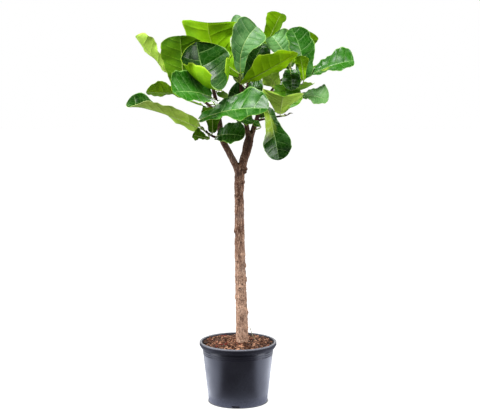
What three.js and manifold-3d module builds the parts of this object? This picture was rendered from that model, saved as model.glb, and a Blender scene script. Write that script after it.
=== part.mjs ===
// A fiddle leaf fig grown as a small standard tree: a nursery pot, the soil and
// bark mulch in it, a woody stem that forks, young shoots, and the leaves.
// Millimetres, +Z up. The origin is the centre of the pot's underside.
// X runs to the right of the plant and Y to its back.
import * as THREE from 'three';
import { mergeVertices } from 'three/addons/utils/BufferGeometryUtils.js';
import Module from 'manifold-3d';

const wasm = await Module();
wasm.setup();

// ---------------------------------------------------------------- dimensions

const GAP = 0.3;                 // clearance kept between touching pieces

const POT = {
  height: 245,
  footRadius: 119,
  bodyRadius: 143,               // under the lip
  lipRadius: 155,
  lipDrop: 23,                   // height of the turned-down skirt
  lipThickness: 3,
  lipRound: 4,                   // outer and inner edge of the lip's top
  wall: 2,
  floor: 3,
  footChamfer: 3,
  slots: { count: 4, width: 32, height: 9, depth: 24, firstAngle: 266 },
  segments: 40,
};

const SOIL = { top: 222, sideGap: 1.5, footChamfer: 6 };
const MULCH = { top: 233, edgeDrop: 4, rings: [16, 48, 84], bump: 1.6, ripple: [0.11, 0.13], segments: 28 };

const BLADE = {
  thickness: 1.8,
  across: 4,
  along: 8,
  waves: 2.6,                    // waves along each margin
  waveGrowth: 6,                 // how fast they grow from the base
  waveFade: 8,                   // and fade at the tip
  lobe: 0.045,                   // how far the base's earlobes reach back, as a share of the length
  lobeSpan: 0.09,                // share of the length that they take up
};
const PETIOLE = { radius: 2.6, endRadius: 2.1, sides: 5, steps: 3, bend: 0.45, end: 0.03 };

const STEM = {
  sides: 10,
  steps: 26,
  path: [
    [17, 2, 130], [17, 1, 230], [16, 0, 300], [12, 0, 440], [8, -1, 590],
    [6, 1, 740], [5, 0, 850], [7, 0, 930], [8, 0, 955],
  ],
  radii: [22, 25.5, 24.5, 22.5, 20.5, 18.5, 18, 20, 19],
};

const LEFT_LIMB = {
  sides: 8,
  steps: 9,
  path: [[4, 0, 915], [-10, -2, 955], [-35, -6, 1005], [-60, -10, 1055], [-70, -5, 1100], [-75, 0, 1135]],
  radii: [14, 13.5, 13, 12.5, 12, 11],
};

const RIGHT_LIMB = {
  sides: 8,
  steps: 7,
  path: [[8, 0, 915], [18, 0, 955], [30, 0, 1000], [42, 0, 1045], [48, 0, 1078]],
  radii: [16, 17, 17, 19, 14],
};

// Young wood: each shoot starts inside its parent and ends in a pointed bud.
const SHOOTS = {
  shoot_left: {
    path: [[-74, 0, 1120], [-80, -4, 1165], [-86, -16, 1208], [-95, -38, 1250], [-98, -42, 1272]],
    radii: [10.5, 10, 8.5, 7, 2.5],
  },
  shoot_centre: {
    path: [[42, 0, 1060], [36, -4, 1095], [28, -10, 1140], [16, -5, 1225], [10, 0, 1275], [9, 0, 1300]],
    radii: [11, 10, 9, 8, 7, 2.5],
  },
  shoot_right: {
    path: [
      [50, 0, 1060], [62, 2, 1100], [75, 5, 1140], [95, 10, 1195],
      [120, 20, 1230], [185, 20, 1255], [240, 5, 1282], [258, 0, 1294],
    ],
    radii: [11, 10, 9, 8, 7, 5.5, 4.5, 2],
  },
  twig_low_right: {
    path: [[73, 5, 1128], [112, -6, 1139], [150, -18, 1146], [182, -72, 1153], [197, -90, 1158]],
    radii: [4.5, 4.5, 4, 3.5, 1.8],
  },
  twig_low_left: {
    path: [[-62, -10, 1060], [-95, -40, 1070], [-122, -52, 1087], [-134, -57, 1098]],
    radii: [5.5, 5, 4, 1.8],
  },
  twig_left_back: {
    path: [[-78, -2, 1150], [-130, 70, 1200], [-190, 118, 1238], [-228, 140, 1262], [-240, 146, 1272]],
    radii: [6.5, 6, 5, 4, 1.8],
  },
  twig_back: {
    path: [[16, -5, 1222], [40, 45, 1270], [70, 95, 1325], [82, 110, 1348]],
    radii: [5.5, 5, 4, 1.8],
  },
  twig_right_back: {
    path: [[98, 12, 1200], [150, 88, 1266], [190, 112, 1302], [203, 118, 1318]],
    radii: [5.5, 5, 4, 1.8],
  },
};
const SHOOT_SIDES = 6;
const SHOOT_STEPS = 8;

const DRY_STALK = {
  sides: 5,
  steps: 4,
  path: [[76, 24, 234.3], [61, 14, 260], [45, 3, 308]],
  radii: [1.4, 1.2, 1],
};

// Half width of a blade along its midrib, from base to tip, as a share of the
// widest place: the waisted fiddle, the fan with a broad end, the round, the heart with a
// broad base, the shield with square corners, the lance with a long point and the oval.
const FIDDLE = [
  [0, 0.10], [0.03, 0.26], [0.10, 0.40], [0.24, 0.43], [0.40, 0.58], [0.55, 0.84],
  [0.68, 0.99], [0.80, 0.97], [0.90, 0.78], [0.97, 0.42], [1, 0.08],
];
const FAN = [
  [0, 0.08], [0.04, 0.22], [0.12, 0.32], [0.28, 0.42], [0.45, 0.62], [0.62, 0.84],
  [0.76, 0.97], [0.87, 1], [0.95, 0.85], [0.985, 0.55], [1, 0.20],
];
const ROUND = [
  [0, 0.22], [0.03, 0.50], [0.10, 0.74], [0.24, 0.88], [0.40, 0.96], [0.55, 1],
  [0.68, 0.98], [0.80, 0.88], [0.90, 0.68], [0.97, 0.38], [1, 0.08],
];
const HEART = [
  [0, 0.55], [0.03, 0.74], [0.10, 0.89], [0.24, 0.98], [0.40, 1], [0.55, 0.98],
  [0.68, 0.94], [0.80, 0.85], [0.90, 0.68], [0.97, 0.38], [1, 0.08],
];
const SHIELD = [
  [0, 0.08], [0.04, 0.16], [0.12, 0.24], [0.28, 0.36], [0.45, 0.51], [0.62, 0.67],
  [0.76, 0.81], [0.87, 0.92], [0.95, 1], [0.985, 0.96], [1, 0.66],
];
const LANCE = [
  [0, 0.10], [0.03, 0.18], [0.10, 0.28], [0.24, 0.66], [0.40, 0.98], [0.55, 1],
  [0.68, 0.88], [0.80, 0.66], [0.90, 0.42], [0.97, 0.20], [1, 0.05],
];
const OVAL = [
  [0, 0.12], [0.03, 0.38], [0.10, 0.58], [0.24, 0.70], [0.40, 0.84], [0.55, 0.96],
  [0.68, 1], [0.80, 0.93], [0.90, 0.73], [0.97, 0.40], [1, 0.08],
];

// What a leaf has unless its own line says otherwise.
//   facing  azimuth (0 front, 90 right, 180 back) and height, in degrees, of the upper side
//   arch    rise of the midrib's middle above the chord, towards the upper side
//   sway    sideways bow of the midrib, to the leaf's right
//   fold    angle of each half at the midrib; curl adds to it out to the margin,
//           as [left at base, left at tip, right at base, right at tip]
//   twist   turn of the blade about its midrib, from base to tip
//   wave    height of the wavy margin, and phase where its first wave starts
const LEAF_DEFAULTS = {
  outline: FIDDLE, arch: 15, sway: 0, fold: 8, curl: [15, 15, 15, 15], twist: 0, wave: 5, phase: 0,
};

const LEAVES = [
  // left side
  { name: 'leaf_left_outer_top', on: 'twig_left_back', at: 0.98,
    base: [-252, 134, 1285], tip: [-404, 90, 1464], width: 120, facing: [125, 30], outline: FAN,
    arch: -5, curl: [20, 30, 20, 20] },
  { name: 'leaf_left_broad', on: 'twig_left_back', at: 0.72,
    base: [-215, 50, 1255], tip: [-225, -10, 1460], width: 180, facing: [180, 25], outline: OVAL,
    arch: 12, curl: [15, 20, 15, 15] },
  { name: 'leaf_left_front', on: 'shoot_left', at: 0.45,
    base: [-100, -72, 1222], tip: [-245, -180, 1245], width: 205, facing: [-15, 45], outline: ROUND,
    curl: [10, 10, 25, 25] },
  { name: 'leaf_left_front_cup', on: 'shoot_left', at: 0.85,
    base: [-68, -172, 1252], tip: [-160, -30, 1436], width: 300, facing: [8, 54], outline: HEART,
    arch: -66, curl: [120, 40, 120, 40] },
  { name: 'leaf_left_long', on: 'twig_low_left', at: 0.97,
    base: [-158, -67, 1107], tip: [-435, -40, 1195], width: 165, facing: [180, 70], arch: 12,
    curl: [20, 30, 10, 30], twist: -110 },
  { name: 'leaf_left_back_low', on: 'twig_left_back', at: 0.55,
    base: [-175, 150, 1215], tip: [-370, 120, 1240], width: 120, facing: [180, 60], arch: 10,
    curl: [10, 10, 10, 10] },
  // crown
  { name: 'leaf_crown_left_broad', on: 'shoot_centre', at: 0.97,
    base: [10, 32, 1312], tip: [-118, 20, 1512], width: 240, facing: [175, 25], outline: SHIELD,
    arch: 12, sway: 40, curl: [10, 15, 10, 15], wave: 9 },
  { name: 'leaf_crown_front', on: 'shoot_centre', at: 0.93,
    base: [10, -30, 1325], tip: [74, -10, 1496], width: 152, facing: [-5, 20], outline: FAN,
    arch: 10, sway: -22, curl: [35, 30, 30, 30] },
  { name: 'leaf_crown_back', on: 'twig_back', at: 0.6,
    base: [25, 70, 1360], tip: [-8, 92, 1545], width: 62, facing: [0, 25] },
  { name: 'leaf_crown_right_tip', on: 'twig_back', at: 0.95,
    base: [97, 112, 1385], tip: [170, 70, 1550], width: 90, facing: [200, 30], outline: FAN, arch: 5,
    curl: [15, 30, 15, 30] },
  { name: 'leaf_crown_inner', on: 'shoot_centre', at: 0.86,
    base: [36, 12, 1290], tip: [102, 44, 1432], width: 110, facing: [-15, 25] },
  { name: 'leaf_centre_shaded', on: 'shoot_centre', at: 0.66,
    base: [30, 2, 1240], tip: [98, -25, 1260], width: 90, facing: [0, 40] },
  { name: 'leaf_centre_small', on: 'shoot_centre', at: 0.5,
    base: [40, 20, 1194], tip: [-34, -8, 1246], width: 95, facing: [0, 30] },
  // right side
  { name: 'leaf_front_raised', on: 'shoot_centre', at: 0.8,
    base: [22, -42, 1278], tip: [225, -150, 1392], width: 140, facing: [190, 60], outline: LANCE,
    arch: 0, curl: [10, 10, 25, 25] },
  { name: 'leaf_right_upright', on: 'shoot_right', at: 0.9,
    base: [254, -14, 1300], tip: [208, 20, 1490], width: 125, facing: [30, 20], outline: OVAL,
    arch: 12, sway: 10, curl: [20, 15, 10, 30] },
  { name: 'leaf_right_young', on: 'shoot_right', at: 0.82,
    base: [254, -54, 1292], tip: [238, -74, 1382], width: 55, facing: [170, 10] },
  { name: 'leaf_right_outer', on: 'shoot_right', at: 0.97,
    base: [275, 2, 1303], tip: [450, -30, 1365], width: 150, facing: [5, 55], outline: FAN, arch: 12 },
  { name: 'leaf_right_funnel', on: 'twig_right_back', at: 0.8,
    base: [200, 40, 1362], tip: [135, 62, 1460], width: 140, facing: [-10, 40], outline: OVAL,
    curl: [60, 60, 60, 60] },
  { name: 'leaf_right_back_corner', on: 'twig_right_back', at: 0.95,
    base: [215, 112, 1362], tip: [285, 100, 1480], width: 100, facing: [150, 40], outline: FAN },
  { name: 'leaf_right_small_hanging', on: 'shoot_right', at: 0.74,
    base: [204, -34, 1326], tip: [207, -74, 1250], width: 84, facing: [0, 20], outline: OVAL, arch: 10,
    curl: [20, 50, 20, 50] },
  { name: 'leaf_right_pale', on: 'twig_right_back', at: 0.3,
    base: [160, 48, 1248], tip: [112, 62, 1312], width: 85, facing: [180, 30] },
  { name: 'leaf_right_low_inner', on: 'shoot_right', at: 0.62,
    base: [184, -8, 1268], tip: [190, -72, 1180], width: 135, facing: [0, 30], outline: OVAL, arch: 5,
    curl: [15, 20, 15, 20] },
  { name: 'leaf_right_low_cup', on: 'twig_low_right', at: 0.78,
    base: [162, -100, 1162], tip: [172, -155, 1228], width: 180, facing: [180, 40], outline: FAN,
    arch: 5, curl: [25, 35, 25, 35] },
  { name: 'leaf_right_low_outer', on: 'shoot_right', at: 0.68,
    base: [242, 22, 1222], tip: [352, -20, 1210], width: 105, facing: [0, 45] },
  { name: 'leaf_hanging', on: 'shoot_right', at: 0.3,
    base: [115, -22, 1178], tip: [160, -70, 980], width: 115, facing: [15, 10], curl: [15, 10, 15, 10] },
  // low front
  { name: 'leaf_front_large', on: 'twig_low_left', at: 0.72,
    base: [-142, -110, 1140], tip: [115, -210, 1185], width: 165, facing: [10, 42], sway: -10,
    curl: [15, 15, 15, 30], wave: 8 },
  { name: 'leaf_low_left_upright', on: 'twig_low_left', at: 0.5,
    base: [-98, -62, 1088], tip: [-100, -85, 1185], width: 95, facing: [180, 15] },
  { name: 'leaf_low_left_small', on: 'twig_low_left', at: 0.6,
    base: [-116, -64, 1062], tip: [-176, -72, 1078], width: 55, facing: [180, 35], arch: 5 },
  { name: 'leaf_low_centre_round', on: 'twig_low_left', at: 0.2,
    base: [-80, -58, 1074], tip: [25, -112, 1075], width: 110, facing: [0, 38], outline: OVAL,
    arch: 12, curl: [15, 20, 15, 20] },
  { name: 'leaf_low_centre_small', on: 'shoot_right', at: 0.12,
    base: [85, -30, 1112], tip: [-8, -48, 1142], width: 75, facing: [0, 50], arch: 8 },
  // back
  { name: 'leaf_back_left_high', on: 'twig_left_back', at: 0.36,
    base: [-68, 82, 1268], tip: [-92, 240, 1420], width: 150, facing: [190, 40], outline: FAN },
  { name: 'leaf_back_left_mid', on: 'twig_left_back', at: 0.22,
    base: [-95, 86, 1194], tip: [-205, 255, 1258], width: 150, facing: [150, 50] },
  { name: 'leaf_back_left_outer', on: 'twig_left_back', at: 0.82,
    base: [-232, 190, 1296], tip: [-300, 325, 1362], width: 140, facing: [200, 60] },
  { name: 'leaf_back_left_low', on: 'twig_left_back', at: 0.1,
    base: [-98, 66, 1152], tip: [-150, 262, 1180], width: 150, facing: [190, 65] },
  { name: 'leaf_back_centre_high', on: 'twig_back', at: 0.3,
    base: [18, 92, 1277], tip: [-30, 252, 1414], width: 150, facing: [200, 45] },
  { name: 'leaf_back_crown', on: 'twig_back', at: 0.86,
    base: [66, 155, 1365], tip: [50, 285, 1470], width: 140, facing: [180, 45], outline: FAN },
  { name: 'leaf_back_right_mid', on: 'twig_back', at: 0.75,
    base: [106, 138, 1325], tip: [185, 290, 1330], width: 140, facing: [150, 60] },
  { name: 'leaf_back_centre_low', on: 'shoot_centre', at: 0.56,
    base: [10, 65, 1210], tip: [-35, 280, 1200], width: 150, facing: [180, 70], outline: OVAL },
  { name: 'leaf_back_right_high', on: 'twig_right_back', at: 0.88,
    base: [215, 160, 1342], tip: [255, 305, 1420], width: 140, facing: [170, 50], outline: FAN },
  { name: 'leaf_back_right_outer', on: 'shoot_right', at: 0.8,
    base: [238, 75, 1288], tip: [278, 262, 1320], width: 140, facing: [180, 70] },
  { name: 'leaf_back_right_low', on: 'shoot_right', at: 0.56,
    base: [188, 68, 1245], tip: [258, 245, 1245], width: 150, facing: [160, 70] },
  { name: 'leaf_back_centre_right', on: 'shoot_right', at: 0.35,
    base: [98, 72, 1186], tip: [142, 268, 1192], width: 160, facing: [170, 70] },
  { name: 'leaf_back_lowest', on: 'shoot_right', at: 0.22,
    base: [95, 48, 1140], tip: [170, 205, 1150], width: 120, facing: [150, 60] },
];

const FINISH = {
  potPlastic: { color: '#30343c', roughness: 0.45, metalness: 0 },
  soil: { color: '#3b2a20', roughness: 1, metalness: 0 },
  barkChips: { color: '#9a6244', roughness: 0.9, metalness: 0 },
  wood: { color: '#8f6f5b', roughness: 0.85, metalness: 0 },
  youngWood: { color: '#56382a', roughness: 0.75, metalness: 0 },
  leaf: { color: '#3f7d36', roughness: 0.4, metalness: 0 },
  straw: { color: '#d9d2b4', roughness: 0.8, metalness: 0 },
};

// -------------------------------------------------------------------- solids

const vector = ([x, y, z]) => new THREE.Vector3(x, y, z);

/** A geometry as a closed solid: only its positions, with shared corners merged and no flat faces. */
function solid(geometry) {
  geometry.deleteAttribute('normal');
  geometry.deleteAttribute('uv');
  const merged = mergeVertices(geometry, 1e-4);
  const corners = merged.index.array;
  const kept = [];
  for (let i = 0; i < corners.length; i += 3) {
    const [a, b, c] = [corners[i], corners[i + 1], corners[i + 2]];
    if (a !== b && b !== c && c !== a) kept.push(a, b, c);
  }
  return new wasm.Manifold(new wasm.Mesh({
    numProp: 3,
    vertProperties: new Float32Array(merged.attributes.position.array),
    triVerts: new Uint32Array(kept),
  }));
}

/** The solid that a profile of [radius, height] points makes when it turns about the pot's axis. */
function turned(profile, segments) {
  const points = profile.map(([radius, height]) => new THREE.Vector2(radius, height));
  return solid(new THREE.LatheGeometry(points, segments).rotateX(Math.PI / 2));
}

/** A solid as a named mesh with its own material. */
function piece(name, body, finish) {
  const { vertProperties, triVerts } = body.getMesh();
  const geometry = new THREE.BufferGeometry();
  geometry.setAttribute('position', new THREE.BufferAttribute(vertProperties, 3));
  geometry.setIndex(new THREE.BufferAttribute(triVerts, 1));
  geometry.computeVertexNormals();
  const mesh = new THREE.Mesh(geometry, new THREE.MeshStandardMaterial(finish));
  mesh.name = name;
  return mesh;
}

/** Value at share u of a list of values spread evenly along a path. */
function spread(values, u) {
  const place = u * (values.length - 1);
  const i = Math.min(Math.floor(place), values.length - 2);
  return THREE.MathUtils.lerp(values[i], values[i + 1], place - i);
}

/** A closed round bar that follows a curve; grow widens and lengthens it to make a clearance. */
function bar(curve, radii, sides, steps, grow = 0) {
  const geometry = new THREE.CylinderGeometry(1, 1, 1, sides, steps);
  const frames = curve.computeFrenetFrames(steps, false);
  const position = geometry.attributes.position;
  for (let i = 0; i < position.count; i++) {
    const u = position.getY(i) + 0.5;
    const step = Math.round(u * steps);
    const radius = spread(radii, u) + grow;
    const point = curve.getPoint(u)
      .addScaledVector(frames.tangents[step], grow * Math.trunc(2 * u - 1))
      .addScaledVector(frames.normals[step], position.getX(i) * radius)
      .addScaledVector(frames.binormals[step], -position.getZ(i) * radius);
    position.setXYZ(i, point.x, point.y, point.z);
  }
  return solid(geometry);
}

/** The bar of a wood description: its path points are the curve's own knots. */
function branch({ path, radii, sides = SHOOT_SIDES, steps = SHOOT_STEPS }, grow = 0) {
  return bar(new THREE.CatmullRomCurve3(path.map(vector)), radii, sides, steps, grow);
}

// ----------------------------------------------------------------------- pot

/** The wall as one turned profile: a flat floor, a tapered side and a lip with a hanging skirt. */
function pot() {
  const { height, footRadius, bodyRadius, lipRadius, lipThickness, lipRound, wall, floor } = POT;
  const { footChamfer, slots } = POT;
  const skirt = height - POT.lipDrop;
  const underLip = height - lipThickness;
  const profile = [
    [0, 0], [footRadius - footChamfer, 0], [footRadius, footChamfer], [bodyRadius, skirt],
    [bodyRadius + lipThickness, underLip - wall], [lipRadius - 2 * wall, underLip],
    [lipRadius - wall, underLip - wall], [lipRadius - wall, skirt], [lipRadius, skirt],
    [lipRadius, height - lipRound], [lipRadius - lipRound, height], [bodyRadius + lipRound, height],
    [bodyRadius + wall / 2, underLip], [bodyRadius - wall, skirt],
    [footRadius - wall, floor + wall], [footRadius - 2 * wall, floor], [0, floor],
  ];
  let body = turned(profile, POT.segments);
  for (let i = 0; i < slots.count; i++) {
    const slot = new THREE.BoxGeometry(slots.depth, slots.width, 2 * slots.height)
      .translate(footRadius, 0, 0)
      .rotateZ(THREE.MathUtils.degToRad(slots.firstAngle + (360 / slots.count) * i));
    body = body.subtract(solid(slot));
  }
  return body;
}

/** Inner radius of the pot's wall at height z. */
function innerRadius(z) {
  const share = (z - POT.footChamfer) / (POT.height - POT.lipDrop - POT.footChamfer);
  return THREE.MathUtils.lerp(POT.footRadius, POT.bodyRadius, share) - POT.wall;
}

/** The soil and roots that fill the pot up to the mulch. */
function soil() {
  const { sideGap, footChamfer } = SOIL;
  const bottom = POT.floor + GAP;
  const top = SOIL.top - GAP;
  return turned([
    [0, bottom], [innerRadius(bottom) - footChamfer, bottom],
    [innerRadius(bottom + footChamfer) - sideGap, bottom + footChamfer],
    [innerRadius(top) - sideGap, top], [0, top],
  ], POT.segments);
}

/** The layer of bark chips, a low uneven disc. */
function mulch() {
  const { top, rings, bump, ripple: [rippleX, rippleY] } = MULCH;
  const rim = innerRadius(SOIL.top) - SOIL.sideGap;
  const bed = turned([
    [0, SOIL.top], [rim, SOIL.top], [rim, top - MULCH.edgeDrop],
    ...rings.map((inset) => [rim - inset, top]), [0, top],
  ], MULCH.segments);
  return bed.warp((corner) => {
    const [x, y, z] = corner;
    if (z > SOIL.top + 1) corner[2] = z + bump * Math.sin(x * rippleX) * Math.cos(y * rippleY);
  });
}

// ---------------------------------------------------------------------- wood

/** The stem with its two limbs, which grew as one; grow widens it to make a clearance. */
function stem(grow = 0) {
  return branch(STEM, grow).add(branch(LEFT_LIMB, grow)).add(branch(RIGHT_LIMB, grow));
}

// -------------------------------------------------------------------- leaves

/** Smooth half width of a blade at share u of its length. */
function halfWidth(outline, u) {
  let i = 0;
  while (i < outline.length - 2 && u > outline[i + 1][0]) i++;
  const slope = (k) => {
    const [a, b] = [outline[Math.max(k - 1, 0)], outline[Math.min(k + 1, outline.length - 1)]];
    return (b[1] - a[1]) / (b[0] - a[0]);
  };
  const [[u0, w0], [u1, w1]] = [outline[i], outline[i + 1]];
  const step = u1 - u0;
  const s = (u - u0) / step;
  const rest = 1 - s;
  return w0 * rest * rest * (1 + 2 * s) + w1 * s * s * (3 - 2 * s)
    + step * s * rest * (slope(i) * rest - slope(i + 1) * s);
}

/** The unit vector that an azimuth and a height in degrees point along. */
function direction([azimuth, height]) {
  const [a, h] = [azimuth, height].map(THREE.MathUtils.degToRad);
  return new THREE.Vector3(Math.sin(a) * Math.cos(h), -Math.cos(a) * Math.cos(h), Math.sin(h));
}

/** The middle surface of a blade, as a midrib curve and a function of (u, v). */
function bladeSurface(leaf) {
  const [base, tip] = [vector(leaf.base), vector(leaf.tip)];
  const chord = tip.clone().sub(base);
  const length = chord.length();
  chord.normalize();
  const up = direction(leaf.facing);
  up.addScaledVector(chord, -up.dot(chord)).normalize();
  const right = chord.clone().cross(up);
  const bend = base.clone().lerp(tip, 0.5)
    .addScaledVector(up, 2 * leaf.arch)
    .addScaledVector(right, 2 * leaf.sway);
  const midrib = new THREE.QuadraticBezierCurve3(base, bend, tip);

  // u runs from base to tip and v from the left margin, -1, to the right one, 1.
  const point = (u, v) => {
    const along = midrib.getTangent(u);
    const normal = up.clone().addScaledVector(along, -up.dot(along)).normalize()
      .applyAxisAngle(along, THREE.MathUtils.degToRad(leaf.twist) * (u - 0.5));
    const side = along.clone().cross(normal);
    const share = Math.abs(v);
    const [atBase, atTip] = v < 0 ? leaf.curl.slice(0, 2) : leaf.curl.slice(2);
    const curl = THREE.MathUtils.degToRad(THREE.MathUtils.lerp(atBase, atTip, u)) || 0.001;
    const fold = THREE.MathUtils.degToRad(leaf.fold);
    const width = (leaf.width / 2) * halfWidth(leaf.outline, u);
    const out = (width / curl) * (Math.sin(fold + curl * share) - Math.sin(fold));
    const rise = (width / curl) * (Math.cos(fold) - Math.cos(fold + curl * share));
    const phase = leaf.phase + (v < 0 ? 2 : 0);
    const wave = leaf.wave * share * share * Math.sin(2 * Math.PI * BLADE.waves * u + phase)
      * Math.min(1, u * BLADE.waveGrowth) * Math.min(1, (1 - u) * BLADE.waveFade);
    const earlobe = BLADE.lobe * length * share * share * Math.exp(-u / BLADE.lobeSpan);
    return midrib.getPoint(u)
      .addScaledVector(side, Math.sign(v) * out)
      .addScaledVector(normal, rise + wave)
      .addScaledVector(along, -earlobe);
  };
  return { midrib, point };
}

/** Splits each four-sided face on a slab's back along the same diagonal as the one in front of it. */
function matchDiagonals(slab) {
  const corners = slab.index.array;
  const back = slab.groups[5];
  for (let i = back.start; i < back.start + back.count; i += 6) {
    const [a, b, d, , c] = corners.slice(i, i + 6);
    corners.set([a, b, c, a, c, d], i);
  }
}

/** The blade: a thin slab bent onto its middle surface. */
function blade(surface) {
  const geometry = new THREE.BoxGeometry(2, 1, 1, BLADE.across, BLADE.along, 1);
  matchDiagonals(geometry);
  const position = geometry.attributes.position;
  const small = 0.01;
  for (let i = 0; i < position.count; i++) {
    const [v, u] = [position.getX(i), position.getY(i) + 0.5];
    const [u0, u1] = [Math.max(u - small, 0), Math.min(u + small, 1)];
    const [v0, v1] = [Math.max(v - small, -1), Math.min(v + small, 1)];
    const along = surface.point(u1, v).sub(surface.point(u0, v));
    const across = surface.point(u, v1).sub(surface.point(u, v0));
    const normal = across.cross(along).normalize();
    const point = surface.point(u, v).addScaledVector(normal, position.getZ(i) * BLADE.thickness);
    position.setXYZ(i, point.x, point.y, point.z);
  }
  return solid(geometry);
}

/** The largest closed part of a cut body, without the slivers a cut leaves. */
function largest(body) {
  return body.decompose().reduce((best, other) => (other.volume() > best.volume() ? other : best));
}

/** A leaf: its blade, and its petiole from the shoot's skin into the blade's base. */
function leaf(values) {
  const spec = { ...LEAF_DEFAULTS, ...values };
  const surface = bladeSurface(spec);
  const shoot = SHOOTS[spec.on];
  const start = new THREE.CatmullRomCurve3(shoot.path.map(vector)).getPoint(spec.at);
  const base = vector(spec.base);
  const bend = base.clone()
    .addScaledVector(surface.midrib.getTangent(0), -PETIOLE.bend * start.distanceTo(base));
  const stalk = new THREE.QuadraticBezierCurve3(start, bend, surface.midrib.getPoint(PETIOLE.end));
  return largest(blade(surface)
    .add(bar(stalk, [PETIOLE.radius, PETIOLE.endRadius], PETIOLE.sides, PETIOLE.steps))
    .subtract(branch(shoot, GAP)));
}

// ------------------------------------------------------------------ the plant

const group = new THREE.Group();
const stemClearance = stem(GAP);

group.add(piece('pot', pot(), FINISH.potPlastic));
group.add(piece('root_ball_soil', soil().subtract(stemClearance), FINISH.soil));
group.add(piece('bark_mulch', mulch().subtract(stemClearance), FINISH.barkChips));
group.add(piece('stem', stem(), FINISH.wood));
group.add(piece('dry_stalk', branch(DRY_STALK), FINISH.straw));

let woodClearance = stemClearance;
for (const [name, shoot] of Object.entries(SHOOTS)) {
  group.add(piece(name, largest(branch(shoot).subtract(woodClearance)), FINISH.youngWood));
  woodClearance = woodClearance.add(branch(shoot, GAP));
}
for (const values of LEAVES) {
  group.add(piece(values.name, leaf(values), FINISH.leaf));
}

export default group;
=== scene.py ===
"""Looks of the potted fiddle leaf fig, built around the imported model.

Lengths in the tables are in millimetres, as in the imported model's drawing, and MM turns them into metres.
X runs to the right of the plant, Y to its back and Z up; the origin is the centre of the pot's underside.
"""
import logging
import math
import random
from dataclasses import dataclass
from enum import Enum
from typing import Callable, Sequence

import bmesh
import bpy
from mathutils import Euler, Matrix, Vector, noise
from mathutils.kdtree import KDTree


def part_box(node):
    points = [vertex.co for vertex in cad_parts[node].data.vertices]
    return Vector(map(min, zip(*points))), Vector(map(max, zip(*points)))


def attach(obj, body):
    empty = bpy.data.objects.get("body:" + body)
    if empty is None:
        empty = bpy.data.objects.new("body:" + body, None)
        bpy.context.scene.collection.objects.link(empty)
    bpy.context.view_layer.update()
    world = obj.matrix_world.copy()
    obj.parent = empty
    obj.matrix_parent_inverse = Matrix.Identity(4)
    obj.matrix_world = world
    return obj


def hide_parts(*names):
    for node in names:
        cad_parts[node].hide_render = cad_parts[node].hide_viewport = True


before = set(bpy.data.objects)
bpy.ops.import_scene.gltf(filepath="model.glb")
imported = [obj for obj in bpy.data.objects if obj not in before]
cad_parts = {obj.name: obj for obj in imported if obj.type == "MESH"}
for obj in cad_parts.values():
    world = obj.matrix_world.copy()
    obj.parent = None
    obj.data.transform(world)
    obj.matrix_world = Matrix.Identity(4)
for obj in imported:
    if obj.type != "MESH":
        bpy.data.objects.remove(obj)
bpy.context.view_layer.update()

MM = 0.001
BODY = "root"
Colour = tuple[float, float, float, float]
Point = tuple[float, float, float]
Mesh = bmesh.types.BMesh
Piece = bpy.types.Object
Material = bpy.types.Material
Socket = bpy.types.NodeSocket
Sockets = bpy.types.bpy_prop_collection
Node = bpy.types.Node
Tree = bpy.types.NodeTree
log = logging.getLogger("fiddle_leaf_fig")


# --------------------------------------------------------------------------- small tools

def rgb(red: int, green: int, blue: int) -> Colour:
    """Turns a display colour into the linear colour that shaders take.

    Args:
        red, green, blue: the display colour, 0 to 255.

    Returns:
        The linear colour with an alpha of 1.
    """
    def linear(value: int) -> float:
        """Returns one linear channel."""
        share = value / 255
        return share / 12.92 if share <= 0.04045 else ((share + 0.055) / 1.055) ** 2.4
    return linear(red), linear(green), linear(blue), 1.0


def smooth(value: float, low: float, high: float) -> float:
    """Returns how far a value is from low to high, eased at both ends and held to 0..1."""
    share = min(max((value - low) / (high - low), 0.0), 1.0)
    return share * share * (3 - 2 * share)


def spread(values: Sequence[float], share: float) -> float:
    """Returns the value at a share of a list of values spread evenly along a length."""
    place = share * (len(values) - 1)
    i = min(int(place), len(values) - 2)
    return values[i] + (values[i + 1] - values[i]) * (place - i)


def direction(azimuth: float, height: float) -> Vector:
    """Returns the unit vector at an azimuth (0 front, 90 right, 180 back) and a height, in degrees."""
    a, h = math.radians(azimuth), math.radians(height)
    return Vector((math.sin(a) * math.cos(h), -math.cos(a) * math.cos(h), math.sin(h)))


class Path:
    """A smooth path through its own points: a centripetal Catmull-Rom curve."""

    def __init__(self, points: Sequence[Point]) -> None:
        """Keeps the points, with one more past each end.

        Args:
            points: the points in millimetres.
        """
        knots = [Vector(p) * MM for p in points]
        self.spans = len(knots) - 1
        self.knots = [2 * knots[0] - knots[1], *knots, 2 * knots[-1] - knots[-2]]

    def at(self, share: float) -> Vector:
        """Returns the point at a share of the path, in metres."""
        place = min(max(share, 0.0), 1.0) * self.spans
        i = min(int(place), self.spans - 1)
        a, b, c, d = self.knots[i:i + 4]
        ab, bc, cd = (math.sqrt((q - p).length) for p, q in ((a, b), (b, c), (c, d)))
        leave = ((b - a) / ab - (c - a) / (ab + bc) + (c - b) / bc) * bc
        arrive = ((c - b) / bc - (d - b) / (bc + cd) + (d - c) / cd) * bc
        t = place - i
        return (b + leave * t + (3 * (c - b) - 2 * leave - arrive) * t * t
                + (2 * (b - c) + leave + arrive) * t * t * t)


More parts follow.
